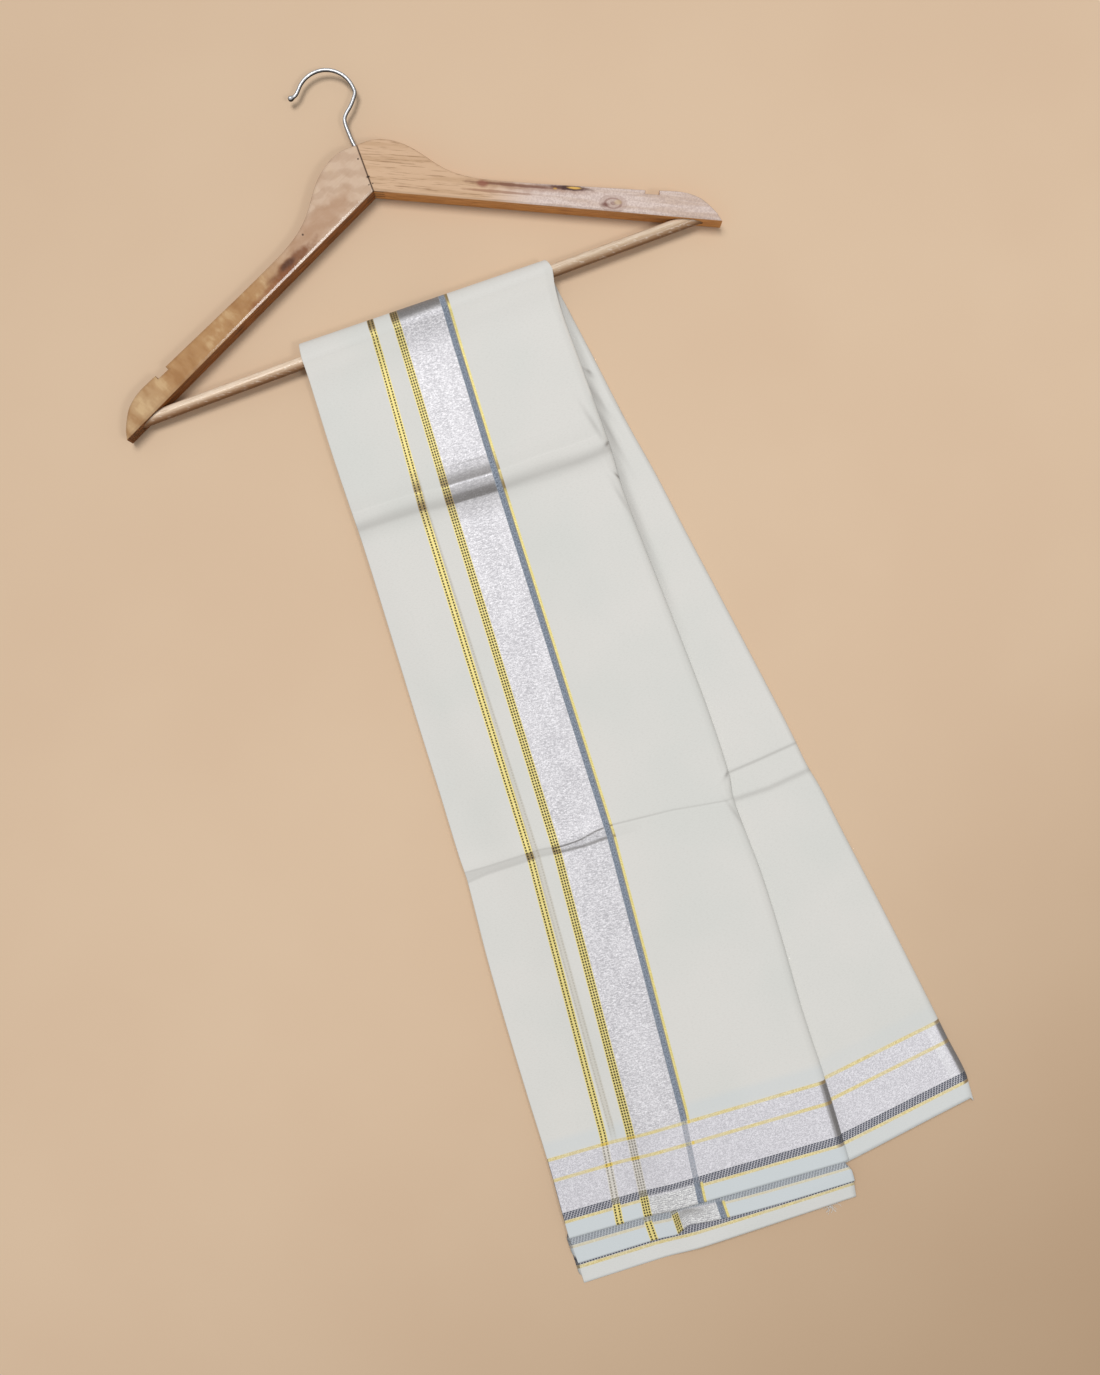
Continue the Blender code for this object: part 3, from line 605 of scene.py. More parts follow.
def back_grid(top, columns, turns, drops, relief):
    """Middle surface of a back sheet's plies, with the share of its thickness at each row."""
    left_x, left_y, right_x, right_y = (side[:, None] for side in read_rows(BACK_ROWS, drops))
    squash = mix(SQUASH, 1.0, swell_at((left_y + right_y) / 2))
    top_z = back_top_z((left_y + right_y) / 2)
    share, lift, left_pull, right_pull = columns.T
    taken, out, fall, level_share = rolled_edge(drops, lift, turns)
    width = right_x - left_x
    if top:
        middle = top_z - LAYER * squash / 2
        thickness = squash
        along = share * (width - taken) + left_pull + out
    else:
        middle = (top_z - LAYER * squash - GAP) / 2
        thickness = middle * 2 / (BACK_THICKNESS - LAYER_STEP)
        along = share * (width - taken + ROLL_TUCK) + left_pull - right_pull
    x = left_x + along
    y = mix(left_y, right_y, along / width)
    if top:
        tail = smoothstep((drops - BACK_END + TAIL) / TAIL)[:, None]
        y = y - TAIL_LONGER * tail * smoothstep((turns - 20.0) / 50.0) * (lift > 0)
    z = middle + lift * thickness - fall
    if relief:
        z = z + relief(x, y) * level_share
    return np.stack([x, y, z], 2), thickness[:, 0]


def tilt_of(points):
    """How steeply each point of a grid leans, in degrees from level."""
    down = np.gradient(points, axis=0)
    across = np.gradient(points, axis=1)
    normal = np.cross(across, down)
    size = np.linalg.norm(normal, axis=2) + 1e-9
    return np.degrees(np.arccos(np.clip(np.abs(normal[..., 2]) / size, 0, 1)))


def band_place(x, drop, rows):
    """Place across the end band's flat cloth of a point at x, by its drop."""
    table = np.array(rows)
    lines = [np.interp(drop, table[:, 0], table[:, column]) for column in (1, 2, 3)]
    flat = (NARROW_STRIPE[0], SECOND_STRIPE[0], BAND_SILVER[1])
    left = flat[0] + (x - lines[0]) * (flat[1] - flat[0]) / (lines[1] - lines[0])
    right = flat[1] + (x - lines[1]) * (flat[2] - flat[1]) / (lines[2] - lines[1])
    past = flat[2] + (x - lines[2])
    return np.where(x < lines[1], left, np.where(x < lines[2], right, past))


def link(name, data):
    """A new object of the scene, with this data."""
    made = bpy.data.objects.new(name, data)
    bpy.context.scene.collection.objects.link(made)
    return made


def cloth_object(name, points, squash, across, along, lean, painted_light_and_shade, material):
    """A grid of points as a closed thin sheet, with its woven pattern's places as its UV map."""
    rows, width = points.shape[:2]
    corners = np.arange(rows * width).reshape(rows, width)
    faces = np.stack([corners[:-1, :-1], corners[:-1, 1:], corners[1:, 1:], corners[1:, :-1]], 2)
    mesh = bpy.data.meshes.new(name)
    mesh.from_pydata(to_row(points).reshape(-1, 3).tolist(), [], faces.reshape(-1, 4).tolist())
    places = np.stack([across, along], 2).reshape(-1, 2) * MM
    uv = mesh.uv_layers.new(name="weave")
    order = np.empty(len(mesh.loops), int)
    mesh.loops.foreach_get("vertex_index", order)
    uv.data.foreach_set("uv", places[order].ravel())
    # These attributes carry painted light and shade into the material.
    for attribute, values in (("lean", lean), ("painted_light_and_shade", painted_light_and_shade)):
        mesh.attributes.new(attribute, "FLOAT", "POINT").data.foreach_set("value", values.ravel())
    mesh.materials.append(material)
    mesh.shade_smooth()
    made = link(name, mesh)
    weights = made.vertex_groups.new(name="thickness")
    for row, share in enumerate(squash):
        weights.add(list(range(row * width, (row + 1) * width)), float(share), "REPLACE")
    solidify = made.modifiers.new("cloth_thickness", "SOLIDIFY")
    solidify.thickness = PLY * MM
    solidify.offset = 0.0
    solidify.vertex_group = "thickness"
    return made


def with_turns(columns, steps):
    """Adds the rolled edge's columns at the right end of the lowest and the top ply."""
    low = [(*columns[0], degrees) for degrees in reversed(steps)]
    high = [(*columns[-1], degrees) for degrees in steps]
    flat = [(*column, 0.0) for column in columns]
    joined = np.array(low + flat + high)
    return joined[:, :4], joined[:, 4]


WRAP_ANGLES = spread((-90, LEAVE_ANGLE, 7.0))
ROLL_STEPS = range(10, 91, 10)


def woven_run(line, run):
    """The run down the cloth, measured on its outer ply where it goes round the bar."""
    lengths = np.cumsum(np.linalg.norm(np.diff(line, axis=0, prepend=line[:1]), axis=1))[:, None]
    keep = np.searchsorted(run[:, 0], WOVEN_RUN_FROM)
    return np.where(run < WOVEN_RUN_FROM, run[keep] + lengths - lengths[keep], run)


def front_sheet(name, sheet, fine, drops, band_rows, relief, material):
    """A front sheet: two plies folded at the left, from under the bar to the sheet's end."""
    coarse = spread((0.0, 0.5, 0.02), (0.5, 1.0, 0.1))
    columns = zigzag(2, PLY_PITCH, fine, coarse)
    turns = np.zeros(len(columns))
    if sheet == TOP_SHEET:
        columns, turns = with_turns(columns, ROLL_STEPS)
    wrap, squash = wrap_grid(sheet, columns, turns, WRAP_ANGLES)
    points = np.concatenate([wrap, front_grid(sheet, columns, turns, drops, relief)])
    squash = np.concatenate([squash, np.ones(len(drops))])
    run = np.concatenate([np.radians(WRAP_ANGLES - LEAVE_ANGLE) * WRAP_RADIUS, drops])
    run = np.repeat(run[:, None], points.shape[1], 1)
    x, y = points[..., 0], points[..., 1]
    top_ply = columns[:, 1] > PLY_PITCH / 2 - 0.01
    across = np.where(top_ply, band_place(x, run, band_rows), -FAR_FROM_BAND - x)
    plain = np.concatenate([wrap, front_grid(sheet, columns, turns, drops, None, falls=0.0)])
    tilt = tilt_of(plain)
    # The lean gives painted shade: from the mesh's tilt, and on the top sheet more at creases, fold
    # and right edge.
    lean = tilt * smoothstep((run - 25.0) / 15.0)
    painted_light_and_shade = np.zeros_like(run)
    if sheet == TOP_SHEET:
        lean = lean + top_thread_painted_shade(x, y, run)
        # Painted light where the cotton comes over the bar, and painted shade at its creases and
        # pinches.
        over_bar = (run > -2.0) * (run < 90.0) * np.clip(tilt / 30.0, 0.0, 1.0)
        painted_light_and_shade = top_painted_shade(x, y) * (run > 0) - OVER_BAR_LIT * over_bar
    along = ENDS[sheet] - woven_run(points[:, np.argmax(columns[:, 1])], run[:, :1])
    along = np.repeat(along, points.shape[1], 1)
    return cloth_object(name, points, squash, across, along, lean, painted_light_and_shade, material)


def back_sheet(name, top, fine, drops, plies, pitch, relief, material):
    """A back sheet: its plies folded in zigzag, the upper one with a rolled right edge."""
    columns = zigzag(plies, pitch, fine, spread((0.0, 1.0, 0.08)))
    turns = np.zeros(len(columns))
    if top:
        columns, turns = with_turns(columns, ROLL_STEPS)
    points, squash = back_grid(top, columns, turns, drops, relief)
    run = np.repeat(drops[:, None], points.shape[1], 1)
    x, y = points[..., 0], points[..., 1]
    # The lean gives painted shade from the tilt; on the top sheet also painted light and shade by
    # its rolled edge.
    lean = tilt_of(points)
    painted_light_and_shade = np.zeros_like(run)
    if top:
        low_end = smoothstep((run - 560.0) / 20.0)
        lean = lean * smoothstep((run - 25.0) / 15.0) + back_edge_lit_and_shaded(x, y) * low_end
        # Painted shade at the back's creases and beside the top sheet's edge.
        painted_light_and_shade = back_painted_shade(x, y)
    along = BACK_END - run
    return cloth_object(name, points, squash, x + FAR_FROM_BAND, along, lean, painted_light_and_shade, material)


# ------------------------------------------------------------- materials

def operator(operation, swapped=False):
    """A method that joins a value and another with a Math node."""
    def join(value, other):
        pair = (other, value) if swapped else (value, other)
        return value.graph.math(operation, *pair)
    return join


class Value:
    """A node's output. Arithmetic on it adds Math nodes."""

    def __init__(self, graph, socket):
        self.graph = graph
        self.socket = socket

    __add__ = operator("ADD")
    __sub__ = operator("SUBTRACT")
    __rsub__ = operator("SUBTRACT", swapped=True)
    __mul__ = operator("MULTIPLY")
    __truediv__ = operator("DIVIDE")


class Graph:
    """Short calls that build one material's nodes. cover() paints over its colour so far."""

    def __init__(self, name):
        self.material = bpy.data.materials.new(name)
        self.material.use_nodes = True
        self.tree = self.material.node_tree
        self.colour = None

    def plug(self, socket, value):
        """The value is a node's output, a number or linear colour, or a colour's six hex digits."""
        if isinstance(value, Value):
            self.tree.links.new(value.socket, socket)
        elif isinstance(value, str):
            socket.default_value = (*srgb(value), 1.0)
        else:
            socket.default_value = value

    def add(self, kind, inputs=(), output=0, **settings):
        """Adds a node, with its inputs by place or by name, and gives back an output."""
        made = self.tree.nodes.new(kind)
        for key, value in settings.items():
            setattr(made, key, value)
        for key, value in inputs.items() if isinstance(inputs, dict) else enumerate(inputs):
            self.plug(made.inputs[key], value)
        return Value(self, made.outputs[output])

    def math(self, operation, *values):
        return self.add("ShaderNodeMath", values, operation=operation)

    def most(self, first, *others):
        for other in others:
            first = self.math("MAXIMUM", first, other)
        return first

    def ramp(self, value, low, high, to_low=0.0, to_high=1.0):
        """value from low to high becomes to_low to to_high, smoothly, and no further."""
        return self.add("ShaderNodeMapRange", (value, low, high, to_low, to_high),
                        interpolation_type="SMOOTHSTEP")

    def band(self, value, low, high, soft):
        """1 from low to high and 0 outside, with soft edges."""
        rise = self.ramp(value, low - soft, low + soft)
        return rise * self.ramp(value, high - soft, high + soft, 1.0, 0.0)

    def bands(self, value, edges, soft):
        """1 in any of the bands, each given by its two edges."""
        return self.most(*(self.band(value, low, high, soft) for low, high in edges))

    def mix(self, share, first, second):
        return self.add("ShaderNodeMix", {0: share, 6: first, 7: second}, 2, data_type="RGBA")

    def cover(self, share, colour):
        self.colour = self.mix(share, self.colour, colour)

    def tint(self, colour, strength, *ramp):
        """Covers with the colour, as strongly as given where the ramp is 1."""
        self.cover(self.ramp(*ramp) * strength, colour)

    def split(self, vector):
        """The three numbers of a vector."""
        made = self.tree.nodes.new("ShaderNodeSeparateXYZ")
        self.plug(made.inputs[0], vector)
        return [Value(self, output) for output in made.outputs]

    def place(self, across, along, third=0.0):
        return self.add("ShaderNodeCombineXYZ", (across, along, third))

    def noise(self, place, scale, detail=2.0, roughness=0.5):
        return self.add("ShaderNodeTexNoise", {"Vector": place, "Scale": scale, "Detail": detail,
                                               "Roughness": roughness})

    def dashes(self, value, pitch, share):
        """1 on each dash along value, and 0 between: share of each pitch is dash."""
        return self.band(self.math("FRACT", value / pitch), DASH_SOFT, DASH_SOFT + share, DASH_SOFT)

    def bump(self, height, distance, strength=1.0, below=None):
        inputs = {"Height": height, "Distance": distance, "Strength": strength}
        if below is not None:
            inputs["Normal"] = below
        return self.add("ShaderNodeBump", inputs)

    def finish(self, inputs):
        """Plugs the colour and the shader's other inputs, and gives back the material."""
        shader = self.tree.nodes["Principled BSDF"]
        for key, value in {"Base Color": self.colour, **inputs}.items():
            self.plug(shader.inputs[key], value)
        return self.material


# Depth of the threads' and the grain's relief, in metres.
RELIEF = 0.0003
# Colours, as six hex digits, or as a linear colour with its alpha.
COTTON = "DCDAD5"
COTTON_COOL = "D7D7D2"
# The cotton's darker threads, and its painted shade where it leans.
COTTON_THREAD_AND_SHADE = "A9A9A3"
# Painted light and painted shade on the cotton.
COTTON_LIT = "F9F7F1"
COTTON_SHADE = "8F8B86"
HEM_COTTON = "CBD3D7"
SILVER, SILVER_DARK = "F8F6F9", "A2A0A5"
SILVER_HEM, SILVER_HEM_DARK = "FCFCFA", "85838A"
# Painted gleam for the silver thread.
SILVER_GLEAMING = (0.93, 0.93, 0.94, 1.0)
# Painted shade for the silver thread where it leans.
SILVER_PAINTED_SHADE = "686461"
BORDER_SILVER, BORDER_SILVER_DARK = "EDEBF0", "A9A7AD"
GOLD, GOLD_BRIGHT = "E9D67F", "F8E89C"
BORDER_GOLD, BORDER_GOLD_BRIGHT = "D8C589", "F0E3AE"
# Painted shade for the gold thread where it leans.
GOLD_PAINTED_SHADE = "7D6241"
GOLD_OVER_GOLD = "EBCB52"
INK, INK_OVER_SILVER = "1C1811", "4F463C"
BLUE_GREY, BLUE_GREY_DARK = "98A1AE", "616A77"
SEAM_THREAD = "55513F"
NAVY = "343B4C"
GHOST, GHOST_INK = "B4A88C", "6E6455"


def dhoti_material(name, band, faded=0.0, ghost=False, hem_tint=1.0, drawn_down=0.0):
    """Plain cotton with the selvedge's border, and with the end band where band is True."""
    graph = Graph(name)
    across, along, _ = graph.split(graph.add("ShaderNodeUVMap", uv_map="weave"))
    across = across * (1 / MM)
    along = graph.math("MULTIPLY_ADD", along, 1 / MM, drawn_down)
    place = graph.place(across, along)
    painted_light_and_shade = graph.add("ShaderNodeAttribute", output="Fac", attribute_name="painted_light_and_shade")
    lean = graph.add("ShaderNodeAttribute", output="Fac", attribute_name="lean")
    # Painted shade where the cloth leans, as a share from 0 to 1.
    painted_lean_shade = graph.ramp(lean, 2.0, 17.0)
    # Painted gleam where the lean is below nought.
    gleaming = graph.ramp(lean, -8.0, -1.0, 1.0, 0.0)

    # Cotton, with its threads, its hem and where the hem's colour returns above the border.
    slub = graph.ramp(graph.noise(place, 0.012), 0.35, 0.7)
    graph.colour = graph.mix(slub, COTTON, COTTON_COOL)
    thread = graph.noise(graph.place(across * 0.3, along), 1.6, 1.0)
    graph.cover(graph.ramp(thread, 0.45, 0.75, 0.0, 0.10), COTTON_THREAD_AND_SHADE)
    hem = graph.band(along, HEM_START, EDGE_GOLD[0], 0.3)
    above = graph.band(along, EDGE_GOLD_ONE[1], EDGE_GOLD_ONE[1] + 11.0, 3.5)
    graph.cover(graph.most(hem, above * 0.5) * (0.8 * hem_tint), HEM_COTTON)
    # Painted shade where the cotton leans.
    graph.cover(painted_lean_shade * 0.10, COTTON_THREAD_AND_SHADE)
    # Painted light where the cotton comes over the bar, and painted shade at its creases and
    # pinches.
    graph.cover(graph.ramp(painted_light_and_shade, -1.0, 0.0, 1.0, 0.0), COTTON_LIT)
    graph.cover(graph.most(painted_light_and_shade, 0.0) * 0.9, COTTON_SHADE)

    if ghost:
        off = across - (along * GHOST_DRIFT + GHOST_ACROSS)
        broken = graph.ramp(graph.noise(place, 0.9, 1.0), 0.30, 0.65, 0.6, 1.0)
        seen = broken * graph.band(along, *GHOST_REACH, 12.0)
        graph.cover(graph.band(off, *GHOST_STRIPE, 0.6) * seen * 0.34, GHOST)
        rows = graph.bands(off, GHOST_ROWS, 0.3)
        spots = rows * seen * graph.dashes(along, DOT_PITCH, DOT_SHARE)
        graph.cover(spots * 0.26, GHOST_INK)

    # Speckle of the metallic thread, in cells about a thread wide, and its picks.
    cells = graph.add("ShaderNodeTexVoronoi",
                      {"Vector": graph.place(across, along * 1.3), "Scale": 1.6}, "Color")
    glint = graph.add("ShaderNodeSeparateColor", (cells,))
    weft = graph.place(across * 0.3, along)
    picks_seen = graph.ramp(graph.noise(weft, 0.95, 2.0, 0.6), 0.42, 0.60)
    cloudy = graph.ramp(graph.noise(graph.place(across, along * 0.5), 0.06), 0.35, 0.65)
    streaks = picks_seen * graph.ramp(cloudy, 0.0, 1.0, 0.55, 1.0)
    sway = graph.noise(graph.place(across * 0.25, along), 0.35)
    lines = graph.math("SINE", graph.math("MULTIPLY_ADD", along, 4.6, sway * 12.0))
    lines = graph.ramp(lines, -0.1, 0.9) * graph.ramp(picks_seen, 0.0, 1.0, 0.4, 1.0)

    def silver_thread(light, dark, picks, streaks=streaks):
        tone = graph.mix(graph.ramp(glint, 0.0, 1.0, 0.0, 0.6), light, dark)
        tone = graph.mix(streaks * picks, tone, dark)
        # Painted gleam beside the back's rolled edge.
        tone = graph.mix(gleaming * 0.3, tone, SILVER_GLEAMING)
        # Painted shade where the thread leans.
        tone = graph.mix(painted_lean_shade * 0.9, tone, SILVER_PAINTED_SHADE)
        # Painted glints where the thread leans.
        sparkle = graph.ramp(glint, 0.72, 0.95) * graph.ramp(painted_lean_shade, 0.2, 0.8)
        return graph.mix(sparkle * 0.12, tone, light)

    def gold_thread(light, bright):
        tone = graph.mix(graph.ramp(glint, 0.2, 0.9), light, bright)
        # Painted shade where the gold thread leans.
        return graph.mix(painted_lean_shade * 0.85, tone, GOLD_PAINTED_SHADE)

    # Selvedge border.
    edge_silver = graph.band(along, *EDGE_SILVER, 0.3)
    edge_gold = graph.bands(along, (EDGE_GOLD, EDGE_GOLD_TWO, EDGE_GOLD_ONE), 0.3)
    edge_dashes = graph.band(along, *EDGE_DASHES, 0.25)
    metal = graph.most(edge_silver, edge_gold, edge_dashes)
    border_silver = silver_thread(BORDER_SILVER, BORDER_SILVER_DARK, 0.12)
    graph.cover(edge_silver, border_silver)
    gold_seen = edge_gold * graph.ramp(cloudy, 0.0, 1.0, 0.80, 1.0)
    graph.cover(gold_seen * (1 - 0.55 * faded), gold_thread(BORDER_GOLD, BORDER_GOLD_BRIGHT))
    rows = (along - EDGE_DASHES[0]) / DASH_ROW
    in_row = graph.band(graph.math("FRACT", rows), 0.08, 0.92, 0.1)
    shifted = across + graph.math("FLOOR", rows) * -0.5
    ink = in_row * graph.dashes(shifted, DASH_LENGTH, 0.80) * edge_dashes
    graph.cover(edge_dashes, graph.mix(0.75 * faded, border_silver, HEM_COTTON))
    graph.cover(ink * (0.95 - 0.35 * faded), NAVY)

    if band:
        # Through the selvedge's border the band is only half as strong.
        crossing = graph.band(along, 14.5, EDGE_GOLD_ONE[1], 1.0)
        outside = 1.0 - crossing
        stripes = graph.bands(across, (NARROW_STRIPE, SECOND_STRIPE), 0.25)
        band_silver = graph.band(across, *BAND_SILVER, 0.25)
        band_gold = graph.band(across, *BAND_GOLD, 0.25)
        silver = silver_thread(SILVER, SILVER_DARK, 0.5)
        hem_silver = silver_thread(SILVER_HEM, SILVER_HEM_DARK, 0.6, lines)
        at_hem = graph.band(along, HEM_START, EDGE_GOLD[1], 0.5)
        graph.cover(band_silver * outside, graph.mix(at_hem, silver, hem_silver))
        gold = gold_thread(GOLD, GOLD_BRIGHT)
        fleck = graph.noise(graph.place(across, along * 0.6), 1.5)
        blue = graph.mix(graph.ramp(fleck, 0.35, 0.65), BLUE_GREY_DARK, BLUE_GREY)
        worn = crossing * graph.ramp(glint, 0.0, 1.0, 0.15, 0.75)
        graph.cover(graph.band(across, *BAND_BLUE, 0.3) * (1.0 - worn), blue)
        seam = graph.band(across, BAND_BLUE[1], BAND_GOLD[0], 0.15)
        graph.cover(seam * outside * 0.8, SEAM_THREAD)
        beads = graph.dashes(along, BEAD_PITCH, 0.45)
        graph.cover(band_gold * outside, graph.mix(beads * 0.22, gold, SEAM_THREAD))
        graph.cover(stripes * graph.ramp(crossing, 0.0, 1.0, 1.0, 0.2), gold)
        both = graph.most(stripes, band_gold) * (crossing * edge_gold)
        graph.cover(both * 0.85, GOLD_OVER_GOLD)
        half = DOT_WIDTH / 2
        dots = graph.bands(across, [(row - half, row + half) for row in DOT_ROWS], 0.15)
        spots = dots * graph.dashes(along, DOT_PITCH, DOT_SHARE)
        sunk = crossing * graph.ramp(glint, 0.0, 1.0, 0.15, 0.50)
        graph.cover(spots * (0.95 - sunk), graph.mix(crossing, INK, INK_OVER_SILVER))
        metal = graph.most(metal, stripes, band_silver, band_gold)

    relief = graph.bump(graph.noise(place, 0.8, 3.0, 0.6), RELIEF, 0.4)
    glints = graph.bump(glint, RELIEF, graph.ramp(metal, 0.0, 1.0, 0.0, 0.5), relief)
    return graph.finish({
        "Roughness": graph.ramp(metal, 0.0, 1.0, 0.9, 0.55),
        "Metallic": graph.ramp(metal, 0.0, 1.0, 0.0, 0.25),
        "Sheen Weight": 0.1, "Sheen Roughness": 0.5, "Normal": glints})


# --------------------------------------------------------------- hanger

ARM_THICKNESS = 15.0
# The edges: a flat facet, so far inwards and leaning so, and a rounding below it.
ARM_FACET = {1: 0.9, -1: 1.25}
ARM_FACET_LEAN = math.radians(28.5)
ARM_ROUNDING = 0.8
ARM_ROUNDING_STEPS = 4
ARM_CROTCH = (0.15, 92.1)
ARM_TIP = (218.6, -10.2)
ARM_TOP_INNER = (
    (0.15, 126.0), (9.0, 126.1), (17.0, 124.2), (24.5, 120.4), (31.0, 115.3), (36.5, 109.5),
    (41.5, 103.0), (46.5, 96.0), (52.5, 88.9), (61.0, 81.7), (71.5, 75.2), (84.0, 69.0),
    (109.0, 57.6), (135.0, 46.2), (155.0, 37.5), (168.0, 31.8), (176.3, 28.2),
)
ARM_NOTCH = ((175.2, 25.8), (183.9, 22.0))
ARM_TOP_OUTER = (
    (185.0, 24.6), (190.0, 22.6), (198.0, 19.0), (204.6, 14.8), (210.4, 9.2), (215.0, 1.2),
    (217.3, -4.2),
)
ARM_SLOPE = math.atan2(ARM_CROTCH[1] - ARM_TIP[1], ARM_TIP[0])
BAR_HALF_LENGTH = 207.5
SOCKET_HALF_LENGTH = 207.8
SOCKET_RADIUS = 4.8
HOOK_HOLE_X = -0.9
HOOK_HOLE_FOOT = 100.7
HOOK_HOLE_RADIUS = 1.6
HOOK_HOLE_LENGTH = 40.0
WIRE_RADIUS = 1.3
HOOK_BEND_CENTRE = (-8.8, 166.0)
HOOK_BEND_RADIUS = 20.4
HOOK_START = (
    # x, y, share of the wire's radius
    (-0.9, 101.0, 1.0), (-0.9, 120.0, 1.0), (-0.9, 126.0, 1.0), (-1.8, 132.0, 1.0),
    (-2.2, 140.0, 1.0), (-2.2, 145.5, 1.0), (-1.3, 149.2, 1.0), (1.2, 152.2, 1.0),
    (4.6, 155.0, 1.0), (7.9, 158.4, 1.0),
)
HOOK_END = (
    # x, y, share of the wire's radius
    (-27.2, 176.3, 1.0), (-29.6, 175.2, 1.0), (-30.6, 175.0, 1.35), (-31.7, 174.9, 1.5),
    (-32.8, 174.9, 1.3), (-33.5, 174.9, 0.7),
)


def smooth_line(points, steps):
    """A smooth curve through the points, with so many steps between each two."""
    ends = [points[0], *points, points[-1]]
    made = []
    for before, start, end, after in zip(ends, ends[1:], ends[2:], ends[3:]):
        for step in range(steps):
            t = step / steps
            made.append(tuple(
                0.5 * (2 * b + (c - a) * t + (2 * a - 5 * b + 4 * c - d) * t ** 2
                       + (3 * b - a - 3 * c + d) * t ** 3)
                for a, b, c, d in zip(before, start, end, after)))
    return made + [points[-1]]


def drawn_in(outline, distances):
    """The outline with each edge moved inwards by its own distance."""
    count = len(outline)
    lines = []
    for index in range(count):
        start = Vector(outline[index])
        along = (Vector(outline[(index + 1) % count]) - start).normalized()
        inwards = Vector((along.y, -along.x))
        lines.append((start + inwards * distances[index], along))
    moved = []
    for index in range(count):
        (place, along), (next_place, next_along) = lines[index - 1], lines[index]
        turn = along.cross(next_along)
        if abs(turn) < 1e-4:
            moved.append(next_place)
        else:
            moved.append(place + along * ((next_place - place).cross(next_along) / turn))
    return moved


def arm_piece(side, name, material):
    """One arm: its outline with finely rounded edges, except at the mitre, and its holes."""
    outline = [ARM_CROTCH, *smooth_line(ARM_TOP_INNER, 4), *ARM_NOTCH,
               *smooth_line(ARM_TOP_OUTER, 4), ARM_TIP]
    rounded = [0.0] + [1.0] * (len(outline) - 1)
    facet = ARM_FACET[side]
    round_foot = facet * math.tan(ARM_FACET_LEAN) + ARM_ROUNDING * math.cos(ARM_FACET_LEAN)
    rings = [(ARM_ROUNDING * (1 - math.sin(ARM_FACET_LEAN)) + facet, 0.0)]
    for step in range(ARM_ROUNDING_STEPS + 1):
        turn = mix(ARM_FACET_LEAN, math.pi / 2, step / ARM_ROUNDING_STEPS)
        rings.append((ARM_ROUNDING * (1 - math.sin(turn)),
                      round_foot - ARM_ROUNDING * math.cos(turn)))
    rings += [(inset, ARM_THICKNESS - height) for inset, height in reversed(rings)]
    work = bmesh.new()
    rows = []
    for inset, height in rings:
        ring = drawn_in(outline, [share * inset for share in rounded])
        rows.append([work.verts.new(to_row((side * x, y, height))) for x, y in ring])
    for low, high in zip(rows, rows[1:]):
        for index in range(len(outline)):
            after = (index + 1) % len(outline)
            work.faces.new((low[index], low[after], high[after], high[index]))
    work.faces.new(rows[0])
    work.faces.new(rows[-1])
    bmesh.ops.recalc_face_normals(work, faces=work.faces)
    mesh = bpy.data.meshes.new(name)
    work.to_mesh(mesh)
    work.free()
    arm = link(name, mesh)
    bore(arm, SOCKET_RADIUS, 2 * SOCKET_HALF_LENGTH, (0.0, 0.0, MID_Z), (0.0, math.pi / 2, 0.0))
    bore(arm, HOOK_HOLE_RADIUS, HOOK_HOLE_LENGTH,
         (HOOK_HOLE_X, HOOK_HOLE_FOOT + HOOK_HOLE_LENGTH / 2, MID_Z), (math.pi / 2, 0.0, 0.0))
    arm.data.materials.clear()
    arm.data.materials.append(material)
    arm.data.shade_smooth()
    arm.data.set_sharp_from_angle(angle=math.radians(22))
    arm.modifiers.new("flat_faces", "WEIGHTED_NORMAL").keep_sharp = True
    return arm


def bore(target, radius, length, place, turn):
    """Cuts a round hole through the target."""
    bpy.ops.mesh.primitive_cylinder_add(vertices=40, radius=radius * MM, depth=length * MM,
                                        location=to_row(place), rotation=turn)
    cutter = bpy.context.object
    cut = target.modifiers.new("hole", "BOOLEAN")
    cut.operation = "DIFFERENCE"
    cut.object = cutter
    bpy.context.view_layer.update()
    graph = bpy.context.evaluated_depsgraph_get()
    made = bpy.data.meshes.new_from_object(target.evaluated_get(graph))
    target.modifiers.clear()
    target.data = made
    bpy.data.objects.remove(cutter)


def arm_place(x, y):
    """Where a point of the right arm lies along its lower edge and up from it."""
    sine, cosine = math.sin(ARM_SLOPE), math.cos(ARM_SLOPE)
    above = y - ARM_CROTCH[1]
    return x * cosine - above * sine, x * sine + above * cosine


class WoodGraph(Graph):
    """A wood's nodes, with its places in millimetres: x and y of the working frame, and height."""

    def __init__(self, name, side=1):
        super().__init__(name)
        x, y, z = self.split(self.add("ShaderNodeTexCoord", output="Object"))
        self.x = x * (side / MM)
        self.y = (y - BAR_Y) * (1 / MM)
        self.z = z * (1 / MM)
        normal = self.add("ShaderNodeNewGeometry", output="Normal")
        _, self.facing_hook, self.facing_up = self.split(normal)

    def away(self, place, size):
        """Distance from the place, in sizes of the patch about it, on the arm's face."""
        across = (self.along - place[0]) / size[0]
        over = (self.up - place[1]) / size[1]
        return self.math("SQRT", across * across + over * over)

    def patch(self, place, size, wander=0.0):
        """1 in the middle of the patch and 0 outside it; wander moves its edge about."""
        distance = self.away(place, size)
        if wander:
            distance = distance + (self.rough - 0.5) * wander
        return self.ramp(distance, 0.35, 1.0, 1.0, 0.0)

    def marks(self, table):
        for place, size, wander, share, colour in table:
            self.cover(self.patch(arm_place(*place), size, wander) * share, colour)

    def stretched(self, long, wide):
        """Noise drawn out along the arm."""
        return self.noise(self.place(self.along / long, self.up / wide, self.z / wide), 1.0, 3.0)

    def finish_gloss(self, roughness, bump, coat, coat_roughness):
        return self.finish({"Specular IOR Level": 0.06, "Roughness": roughness, "Normal": bump,
                            "Coat Weight": coat, "Coat Roughness": coat_roughness})


